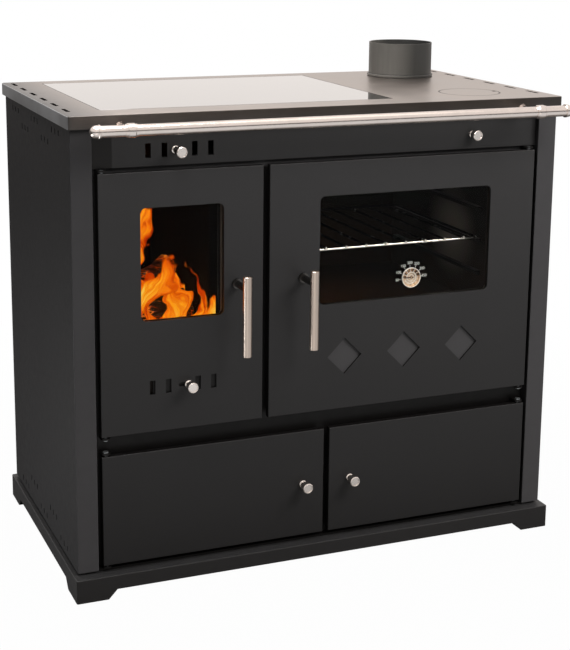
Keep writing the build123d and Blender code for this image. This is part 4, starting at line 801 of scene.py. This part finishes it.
# ---------------------------------------------------------------- operators
class COOKSTOVE_OT_body(bpy.types.Operator):
    """Powder coat the plinth, panels, doors, fascia and hinges"""

    bl_idname = "cookstove.body"
    bl_label = "Body and doors"

    def execute(self, context):
        colours = context.scene.cookstove_colours
        fascia_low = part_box("fascia_panel")[0]
        side_low, side_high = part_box("left_side_panel")
        door_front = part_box("oven_door_panel")[0].y
        # painted light: the doors pale towards their top and the sides towards the floor, as light
        # falls on them
        door_light_fade = (0.25, 0.75, 1.45)
        side_light_fade = (side_high.z, side_low.z, 1.65)
        # painted shade: behind their front faces the doors' edges and backs take the near black
        # inner coat, as they lie in the gaps between parts
        dress(powder_coat("powder_coat_doors", colours.coat_doors, painted_fade=door_light_fade,
                          painted_patch=("Y", door_front + 0.4 * MM, door_front + 1.2 * MM,
                                 colours.coat_inside)),
              "fire_door_panel", "oven_door_panel", "lower_left_door", "lower_right_door")
        # painted shadow: the left end of the fascia next to the left column takes the near black
        # inner coat as that column's shadow
        dress(powder_coat("powder_coat_fascia", colours.coat,
                          painted_patch=("X", fascia_low.x + 38 * MM, fascia_low.x + 36 * MM,
                                 colours.coat_inside)), "fascia_panel")
        dress(powder_coat("powder_coat_diamonds", colours.coat_diamonds),
              "oven_door_diamond_backing")
        dress(powder_coat("powder_coat_plinth", colours.coat, roughness=0.5), "base_plinth")
        # painted light: the columns' front faces take a lighter coat than the side faces of the
        # same sheets, as light falls on them
        dress(powder_coat("powder_coat_sides", colours.coat_sides, roughness=0.5, gloss=0.14,
                          painted_fade=side_light_fade,
                          painted_patch=("Y", side_low.y + 1.5 * MM, side_low.y + 0.5 * MM,
                                 colours.coat_columns_lit)),
              "left_side_panel", "right_side_panel", "back_panel")
        # painted light: a lighter band along the top of the front frame, in the gap between the
        # fascia and the doors, where light falls in
        dress(powder_coat("black_frame_coat", colours.coat_inside, roughness=0.5,
                          painted_patch=("Z", fascia_low.z - 14 * MM, fascia_low.z - 8 * MM,
                                 colours.coat_diamonds)), "front_frame")
        dress(powder_coat("black_inner_coat", colours.coat_inside, roughness=0.5),
              "body_floor", "hinge_brackets", "fire_door_air_slider", "fascia_air_slider")
        dress(zinc_plate("zinc_pins"), "hinge_pins")
        return {"FINISHED"}


class COOKSTOVE_OT_hob(bpy.types.Operator):
    """Brush the hob plate and lid, polish the glass ceramic and lay its seal"""

    bl_idname = "cookstove.hob"
    bl_label = "Hob"

    def execute(self, context):
        sizes = context.scene.cookstove_sizes
        colours = context.scene.cookstove_colours
        plate_low, plate_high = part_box("hob_plate")
        # painted shade on the hob's folded lip below its top, with a painted highlight on the left
        # end of the fold
        lip = (plate_high.z - 0.05 * MM, colours.hob_lip, plate_low.x + 1.6 * MM)
        lid_low, lid_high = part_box("hotplate_lid")
        rim = (((lid_low.x + lid_high.x) / 2, (lid_low.y + lid_high.y) / 2, plate_high.z),
               (lid_high.x - lid_low.x) / 2)
        dress(brushed_steel("brushed_hob_steel", colours.hob, roughness=0.34, lip=lip),
              "hob_plate")
        dress(brushed_steel("brushed_lid_steel", colours.hob, roughness=0.34, lip=lip, rim=rim),
              "hotplate_lid")
        dress(ceramic_glass("black_glass_ceramic"), "hob_glass")
        dress(cast_iron("black_seats"), "hob_seats")
        low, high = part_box("hob_glass")
        reach = sizes.seal_width / 2
        corner, foot, top = 3 * MM, low.z + 1 * MM, high.z - 0.4 * MM
        seal = seal_mesh("seal", (low.x - reach, low.y - reach), (high.x + reach, high.y + reach),
                         corner, sizes.seal_width, foot, top)
        place_piece("hob_glass_seal", [seal], black_rubber("moulded_seal_strip"), "stove")
        return {"FINISHED"}


class COOKSTOVE_OT_flue(bpy.types.Operator):
    """Paint the flue spigot and its collar"""

    bl_idname = "cookstove.flue"
    bl_label = "Flue"

    def execute(self, context):
        low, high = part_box("flue_spigot")
        middle, radius = (low.x + high.x) / 2, (high.x - low.x) / 2
        # painted shade: the right half of the pipe is drawn darker, away from the light
        shaded_side = "#292928"
        paint = stove_paint("stove_paint_pipe", context.scene.cookstove_colours.pipe,
                            painted_patch=("X", middle - 1.05 * radius, middle, shaded_side))
        dress(paint, "flue_spigot", "flue_collar")
        return {"FINISHED"}


class COOKSTOVE_OT_brightwork(bpy.types.Operator):
    """Polish the towel rail and knobs and brush the bar handles"""

    bl_idname = "cookstove.brightwork"
    bl_label = "Rail, knobs and handles"

    def execute(self, context):
        colours = context.scene.cookstove_colours
        dress(polished_steel("polished_rail_steel", colours.rail, roughness=0.17,
                             marks_strength=0.03),
              "towel_rail", "rail_end_caps", "rail_brackets")
        dress(polished_steel("turned_knob_steel", colours.bright, roughness=0.2),
              "fire_door_air_knob", "fascia_air_knob", "lower_left_knob", "lower_right_knob",
              "bypass_damper_knob")
        dress(brushed_steel("brushed_handle_steel", colours.handle, roughness=0.3,
                            along=(60.0, 60.0, 1.0), line_mm=0.5),
              "fire_door_handle_bar", "oven_door_handle_bar")
        dress(polished_steel("turned_shaft_steel", "#5c5a58", roughness=0.3),
              "fire_door_latch_shaft", "oven_door_latch_shaft")
        return {"FINISHED"}


class COOKSTOVE_OT_windows(bpy.types.Operator):
    """Fit the window glass, its retainers and their screws"""

    bl_idname = "cookstove.windows"
    bl_label = "Windows"

    def execute(self, context):
        dress(stove_glass("clear_window_glass", "#f6f3ef"), "fire_door_glass",
              "oven_door_glass")
        dress(cast_iron("blackened_retainers", "#131211"), "fire_glass_retainer",
              "oven_glass_retainer", "fire_door_liner", "oven_door_liner")
        steel = polished_steel("plated_screw_steel", "#a9a6a2", roughness=0.25)
        for door, columns in (("fire", 2), ("oven", 4)):
            node = f"{door}_retainer_screws"
            place_piece(f"{door}_glass_screws", screw_heads(node, 3 * MM, columns, 2), steel,
                        f"{door}_door", (node,))
        return {"FINISHED"}


class COOKSTOVE_OT_ropes(bpy.types.Operator):
    """Braid the rope seals of the two upper doors"""

    bl_idname = "cookstove.ropes"
    bl_label = "Rope seals"

    def execute(self, context):
        sizes = context.scene.cookstove_sizes
        fibre = rope_fibre("braided_glass_fibre")
        for door in ("fire_door", "oven_door"):
            node = f"{door}_gasket"
            rope = rope_mesh("rope", node, sizes.rope_width, sizes.rope_strand)
            place_piece(f"{door}_rope", [rope], fibre, door, (node,))
        return {"FINISHED"}


class COOKSTOVE_OT_thermometer(bpy.types.Operator):
    """Fit the oven thermometer's coil, needle and printed scale"""

    bl_idname = "cookstove.thermometer"
    bl_label = "Thermometer"

    def execute(self, context):
        sizes = context.scene.cookstove_sizes
        low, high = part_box("thermometer_dial")
        centre = ((low.x + high.x) / 2, low.y, (low.z + high.z) / 2)
        dress(dial_metal("spun_dial_brass", centre), "thermometer_dial")
        dress(polished_steel("needle_steel", "#4a2c22", roughness=0.3), "thermometer_needle")
        needle_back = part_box("thermometer_needle")[1].y
        inner, outer, turns, width = 2.2 * MM, 12.5 * MM, 2.3, 3.4 * MM
        coil = coil_mesh("coil", centre, inner, outer, turns, width, needle_back + 0.72 * MM,
                         needle_back + 0.12 * MM)
        place_piece("thermometer_coil", [coil],
                    polished_steel("bimetal_strip", "#fbf3e6", roughness=0.3), "oven_door")
        pane_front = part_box("oven_door_glass")[0].y
        ink = 0.12 * MM
        back, front = pane_front + 0.02 * MM, pane_front - ink
        tick_start, tick_width = 18.9 * MM, 0.8 * MM
        print_meshes = []
        for index, degrees in enumerate(np.linspace(DIAL_FIRST, DIAL_LAST, DIAL_COUNT)):
            angle = math.radians(degrees)
            print_meshes.append(tick_mesh("tick", centre, angle, tick_start,
                                          sizes.scale_radius - 0.5 * sizes.number_height,
                                          tick_width, back, front))
            middle = (centre[0] + sizes.scale_radius * math.cos(angle), centre[1],
                      centre[2] + sizes.scale_radius * math.sin(angle))
            print_meshes.append(number_mesh(str(DEGREES_STEP * (index + 1)), middle,
                                            sizes.number_height, ink, back))
        place_piece("thermometer_scale", print_meshes, printed_ink("pale_print", "#b9c3c1"),
                    "oven_door")
        return {"FINISHED"}


class COOKSTOVE_OT_fire(bpy.types.Operator):
    """Line the firebox and light a fire of split logs in it"""

    bl_idname = "cookstove.fire"
    bl_label = "Firebox and fire"

    def execute(self, context):
        sizes = context.scene.cookstove_sizes
        dress(vermiculite("pressed_fire_board"), "fire_bricks")
        dress(cast_iron("cast_grate_iron"), "fire_grate")
        dress(cast_iron("sooted_firebox_steel", "#1a1817"), "firebox_shell")
        dress(zinc_plate("zinc_ash_pan", "#7e8284"), "ash_pan")
        grate_low, grate_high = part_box("fire_grate")
        bricks_low, bricks_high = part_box("fire_bricks")
        brick = 27 * MM
        left, right = bricks_low.x + brick, bricks_high.x - brick
        floor = grate_high.z
        r = sizes.log_radius
        # two logs lie side by side and a thinner one crosses them
        logs = [
            log_mesh("log", (left + 6 * MM, -0.125, floor + r + 4 * MM),
                     (right - 8 * MM, -0.105, floor + r + 2 * MM), r, 1),
            log_mesh("log", (left + 12 * MM, -0.045, floor + r + 2 * MM),
                     (right - 4 * MM, -0.06, floor + r + 6 * MM), 1.1 * r, 2),
            log_mesh("log", (left + 22 * MM, -0.135, floor + 2.7 * r),
                     (right - 22 * MM, -0.02, floor + 3.2 * r), 0.86 * r, 3),
        ]
        place_piece("fire_logs", logs, charred_wood("charred_split_log"), "stove")
        edge, thickness = 4 * MM, 16 * MM
        embers = ember_mesh("embers", (grate_low.x + edge, grate_low.y + edge),
                            (grate_high.x - edge, grate_high.y - edge), floor + 0.2 * MM,
                            thickness)
        place_piece("fire_embers", [embers], glowing_embers("ember_bed"), "stove")
        pane_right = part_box("fire_door_glass")[1].x
        # depth, sway, share of the flame height, seed, left and right end of each flame sheet
        whole = (left + 2 * MM, right - 2 * MM)
        sheets = ((-0.158, 12 * MM, 0.92, 2.3, *whole),
                  (-0.120, 12 * MM, 1.0, 5.1, *whole),
                  (-0.070, 12 * MM, 1.05, 9.4, *whole),
                  (-0.1931, 0.8 * MM, 0.78, 3.6, left + 6 * MM, pane_right - 14 * MM))
        for index, (depth, sway, tall, seed, start, end) in enumerate(sheets):
            height = sizes.flame_height * tall
            sheet = flame_mesh("flame", start, end, floor + 2 * MM, height, depth, sway,
                               index + 11)
            place_piece(f"fire_flames_{index + 1}", [sheet],
                        flame(f"wood_flame_{index + 1}", floor, height, seed), "stove")
        return {"FINISHED"}


class COOKSTOVE_OT_oven(bpy.types.Operator):
    """Enamel the oven and plate its rack and runners"""

    bl_idname = "cookstove.oven"
    bl_label = "Oven"

    def execute(self, context):
        right_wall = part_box("oven_box")[1].x
        rack_low, rack_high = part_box("oven_rack")
        rack_front = rack_low.y
        grey_spot = (right_wall, -0.05, 0.57)
        dress(oven_enamel("speckled_oven_enamel", grey_spot), "oven_box")
        # painted shade: the rack wire turns near black behind its front, in the shade of the oven
        dress(polished_steel("chromed_rack_wire", "#f2f4f2", roughness=0.22,
                             painted_patch=("Y", rack_front + 7 * MM, rack_front + 16 * MM, "#101010")),
              "oven_rack")
        dress(polished_steel("blackened_runners", "#111111", roughness=0.4), "oven_runners")
        wires, margin = 8, 33 * MM
        radius, reach, rise = 1.7 * MM, 2.2 * MM, 3.4 * MM
        tips = [wire_tip_mesh("tip", (x, rack_front + 4 * MM, rack_high.z - 2.2 * MM), radius,
                              reach, rise)
                for x in np.linspace(rack_low.x + margin, rack_high.x - margin, wires)]
        place_piece("rack_wire_tips", tips,
                    polished_steel("chromed_wire_tips", "#fffffb", roughness=0.4), "oven_rack")
        return {"FINISHED"}


class COOKSTOVE_OT_inside(bpy.types.Operator):
    """Finish the inner sheets, the damper, the magnets and the back screws"""

    bl_idname = "cookstove.inside"
    bl_label = "Inner parts and back"

    def execute(self, context):
        dress(cast_iron("blackened_inner_sheet", "#131211"), "deck_plate", "inner_casing",
              "compartment_divider", "flue_divider")
        dress(cast_iron("damper_iron"), "bypass_damper")
        dress(black_rubber("magnet_housing"), "door_magnets")
        place_piece("back_panel_screws", screw_heads("back_screws", 4.5 * MM, 2, 4),
                    polished_steel("zinc_screw_steel", "#8f9290", roughness=0.3), "stove",
                    ("back_screws",))
        return {"FINISHED"}


def direct_view(tree, path):
    """1 for what the camera sees, bare or through glass, and 0 once light has been scattered."""
    fresh = add(tree, "Math", [path.outputs["Diffuse Depth"], 0.5], "LESS_THAN")
    through = add(tree, "Math", [path.outputs["Is Transmission Ray"], fresh], "MULTIPLY")
    return add(tree, "Math", [path.outputs["Is Camera Ray"], through], "MAXIMUM")


class COOKSTOVE_OT_stage(bpy.types.Operator):
    """Set the floor, the white surround, the soft lamps and the camera"""

    bl_idname = "cookstove.stage"
    bl_label = "Studio"

    def execute(self, context):
        self.floor()
        self.surround(context.scene)
        self.lamps(context.scene)
        self.camera(context.scene)
        context.scene.view_settings.view_transform = "Standard"
        return {"FINISHED"}

    def floor(self):
        """Level floor: z = 0 on a grid of x and y."""
        span = np.linspace(-9, 9, 19)
        mesh = sheet_mesh("floor", span[None, :], span[:, None], 0.0)
        floor = bpy.data.objects.new("studio_floor", mesh)
        bpy.context.scene.collection.objects.link(floor)
        # white where the camera sees it, and in reflections in front of the stove
        material, tree, place = new_material("pale_studio_floor")
        cloud = add(tree, "TexNoise", [place, 2.0, 2.0])
        tint = add(tree, "Mix", [cloud, "#605e5c", "#6a6866"])
        matt = add(tree, "BsdfPrincipled", {"Base Color": tint, "Roughness": 0.8,
                                            "Specular IOR Level": 0.1})
        white = add(tree, "Emission", {"Color": "#ffffff", "Strength": 1.0})
        path = add(tree, "LightPath")
        away = add(tree, "VectorMath", [place], "LENGTH")
        keep = add(tree, "MapRange", [away, 0.5, 1.6, 0.985, 1.0])
        seen = direct_view(tree, path)
        shown = add(tree, "Math", [seen, keep], "MULTIPLY")
        # painted shade: in reflections the floor stays dark matt grey up to 0.35 m in front of the
        # stove and whitens only further out, standing in for the stove's shadow
        spot = add(tree, "SeparateXYZ", [place])
        front = add(tree, "MapRange", [spot.outputs["Y"], -0.35, -0.85, 0.0, 0.72])
        mirrored = add(tree, "Math", [path.outputs["Is Glossy Ray"], front], "MULTIPLY")
        share = add(tree, "Math", [shown, mirrored], "MAXIMUM")
        mixed = add(tree, "MixShader", [share, matt, white])
        add(tree, "OutputMaterial", [mixed])
        mesh.materials.append(material)

    def surround(self, scene):
        """White to the camera, bright in mirrors behind, right and above, dim to matt surfaces."""
        world = bpy.data.worlds.new("studio_surround")
        world.use_nodes = True
        tree = world.node_tree
        tree.nodes.clear()
        facing = add(tree, "TexCoord").outputs["Generated"]
        path = add(tree, "LightPath")
        ahead = add(tree, "VectorMath", [facing, (0.0, -1.0, 0.0)], "DOT_PRODUCT")
        matt = add(tree, "MapRange", [ahead, -0.2, 0.6, 0.15, 0.24])
        behind = add(tree, "VectorMath", [facing, (0.64, 0.77, 0.0)], "DOT_PRODUCT")
        mirrored = add(tree, "MapRange", [behind, 0.3, 0.8, 0.05, 1.0])
        lift = add(tree, "SeparateXYZ", [facing])
        above = add(tree, "MapRange", [lift.outputs["Z"], 0.02, 0.35, 0.0, 0.95])
        glossy = add(tree, "Math", [mirrored, above], "MAXIMUM")
        unseen = add(tree, "Mix", [path.outputs["Is Glossy Ray"], matt, glossy], data_type="FLOAT")
        seen = direct_view(tree, path)
        soft = add(tree, "Background", {"Color": "#fff8f3", "Strength": unseen})
        white = add(tree, "Background", {"Color": "#ffffff", "Strength": 1.0})
        mixed = add(tree, "MixShader", [seen, soft, white])
        add(tree, "OutputWorld", {"Surface": mixed})
        scene.world = world

    def lamps(self, scene):
        """Large soft boxes: each looks at the stove's middle, and two are kept out of mirrors."""
        unmirrored = ("key_softbox", "back_softbox")
        aim = Vector((0, 0, 0.45))
        for name, place, size, power, colour in (
                ("key_softbox", (0.85, -1.2, 1.65), (1.3, 0.7), 38, "#fffaf4"),
                ("low_front_card", (-0.75, -1.7, 0.25), (0.9, 0.5), 0.9, "#fff4ea"),
                ("low_left_card", (-1.3, 0.1, 0.15), (0.9, 0.3), 4.5, "#ffffff"),
                ("over_hob_softbox", (-0.45, -0.25, 1.75), (0.9, 0.7), 17, "#ffffff"),
                ("back_softbox", (0.4, 2.6, 1.4), (1.8, 1.2), 32, "#ffffff"),
                ("top_softbox", (0.0, -0.2, 3.2), (3.0, 2.0), 10, "#fff6ee")):
            lamp = bpy.data.lights.new(name, "AREA")
            lamp.shape = "RECTANGLE"
            lamp.size, lamp.size_y = size
            lamp.energy = power
            lamp.color = linear(colour)[:3]
            holder = bpy.data.objects.new(name, lamp)
            holder.location = place
            holder.rotation_mode = "QUATERNION"
            holder.rotation_quaternion = (aim - Vector(place)).to_track_quat("-Z", "Y")
            holder.visible_camera = False
            holder.visible_glossy = name not in unmirrored
            scene.collection.objects.link(holder)

    def camera(self, scene):
        """Camera at the photograph's viewing angle, with a slight downward lens shift."""
        turn, tilt, roll = map(math.radians, CAMERA_ANGLES)
        ahead = Vector((math.sin(turn) * math.cos(tilt), math.cos(turn) * math.cos(tilt),
                        -math.sin(tilt)))
        right = Vector((math.cos(turn), -math.sin(turn), 0))
        up = right.cross(ahead)
        level_right = right * math.cos(roll) + up * math.sin(roll)
        level_up = up * math.cos(roll) - right * math.sin(roll)
        data = bpy.data.cameras.new("studio_camera")
        data.sensor_width = 36.0
        data.lens = FOCAL_PIXELS / max(IMAGE_SIZE) * data.sensor_width
        data.shift_y = CAMERA_SHIFT
        camera = bpy.data.objects.new("studio_camera", data)
        basis = Matrix((level_right, level_up, -ahead)).transposed().to_4x4()
        camera.matrix_world = Matrix.Translation(CAMERA_PLACE) @ basis
        scene.collection.objects.link(camera)
        scene.camera = camera


class COOKSTOVE_PT_panel(bpy.types.Panel):
    """Buttons for the cookstove's pieces and its studio"""

    bl_idname = "COOKSTOVE_PT_panel"
    bl_label = "Wood cookstove"
    bl_space_type = "VIEW_3D"
    bl_region_type = "UI"
    bl_category = "Cookstove"

    def draw(self, context):
        for group in (context.scene.cookstove_sizes, context.scene.cookstove_colours):
            for name in group.__annotations__:
                self.layout.prop(group, name)
        for operator in OPERATORS:
            self.layout.operator(operator.bl_idname)


OPERATORS = (COOKSTOVE_OT_stage, COOKSTOVE_OT_body, COOKSTOVE_OT_hob, COOKSTOVE_OT_flue,
             COOKSTOVE_OT_brightwork, COOKSTOVE_OT_windows, COOKSTOVE_OT_ropes,
             COOKSTOVE_OT_thermometer, COOKSTOVE_OT_fire, COOKSTOVE_OT_oven,
             COOKSTOVE_OT_inside)
CLASSES = (CookstoveSizes, CookstoveColours) + OPERATORS + (COOKSTOVE_PT_panel,)


def register():
    """Register the classes and hang the settings on the scene."""
    for item in CLASSES:
        bpy.utils.register_class(item)
    bpy.types.Scene.cookstove_sizes = PointerProperty(type=CookstoveSizes)
    bpy.types.Scene.cookstove_colours = PointerProperty(type=CookstoveColours)


def unregister():
    """Take the settings and the classes away again."""
    del bpy.types.Scene.cookstove_colours
    del bpy.types.Scene.cookstove_sizes
    for item in reversed(CLASSES):
        bpy.utils.unregister_class(item)


def main():
    """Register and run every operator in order."""
    register()
    for operator in OPERATORS:
        group, action = operator.bl_idname.split(".")
        getattr(getattr(bpy.ops, group), action)()


if __name__ == "__main__":
    main()
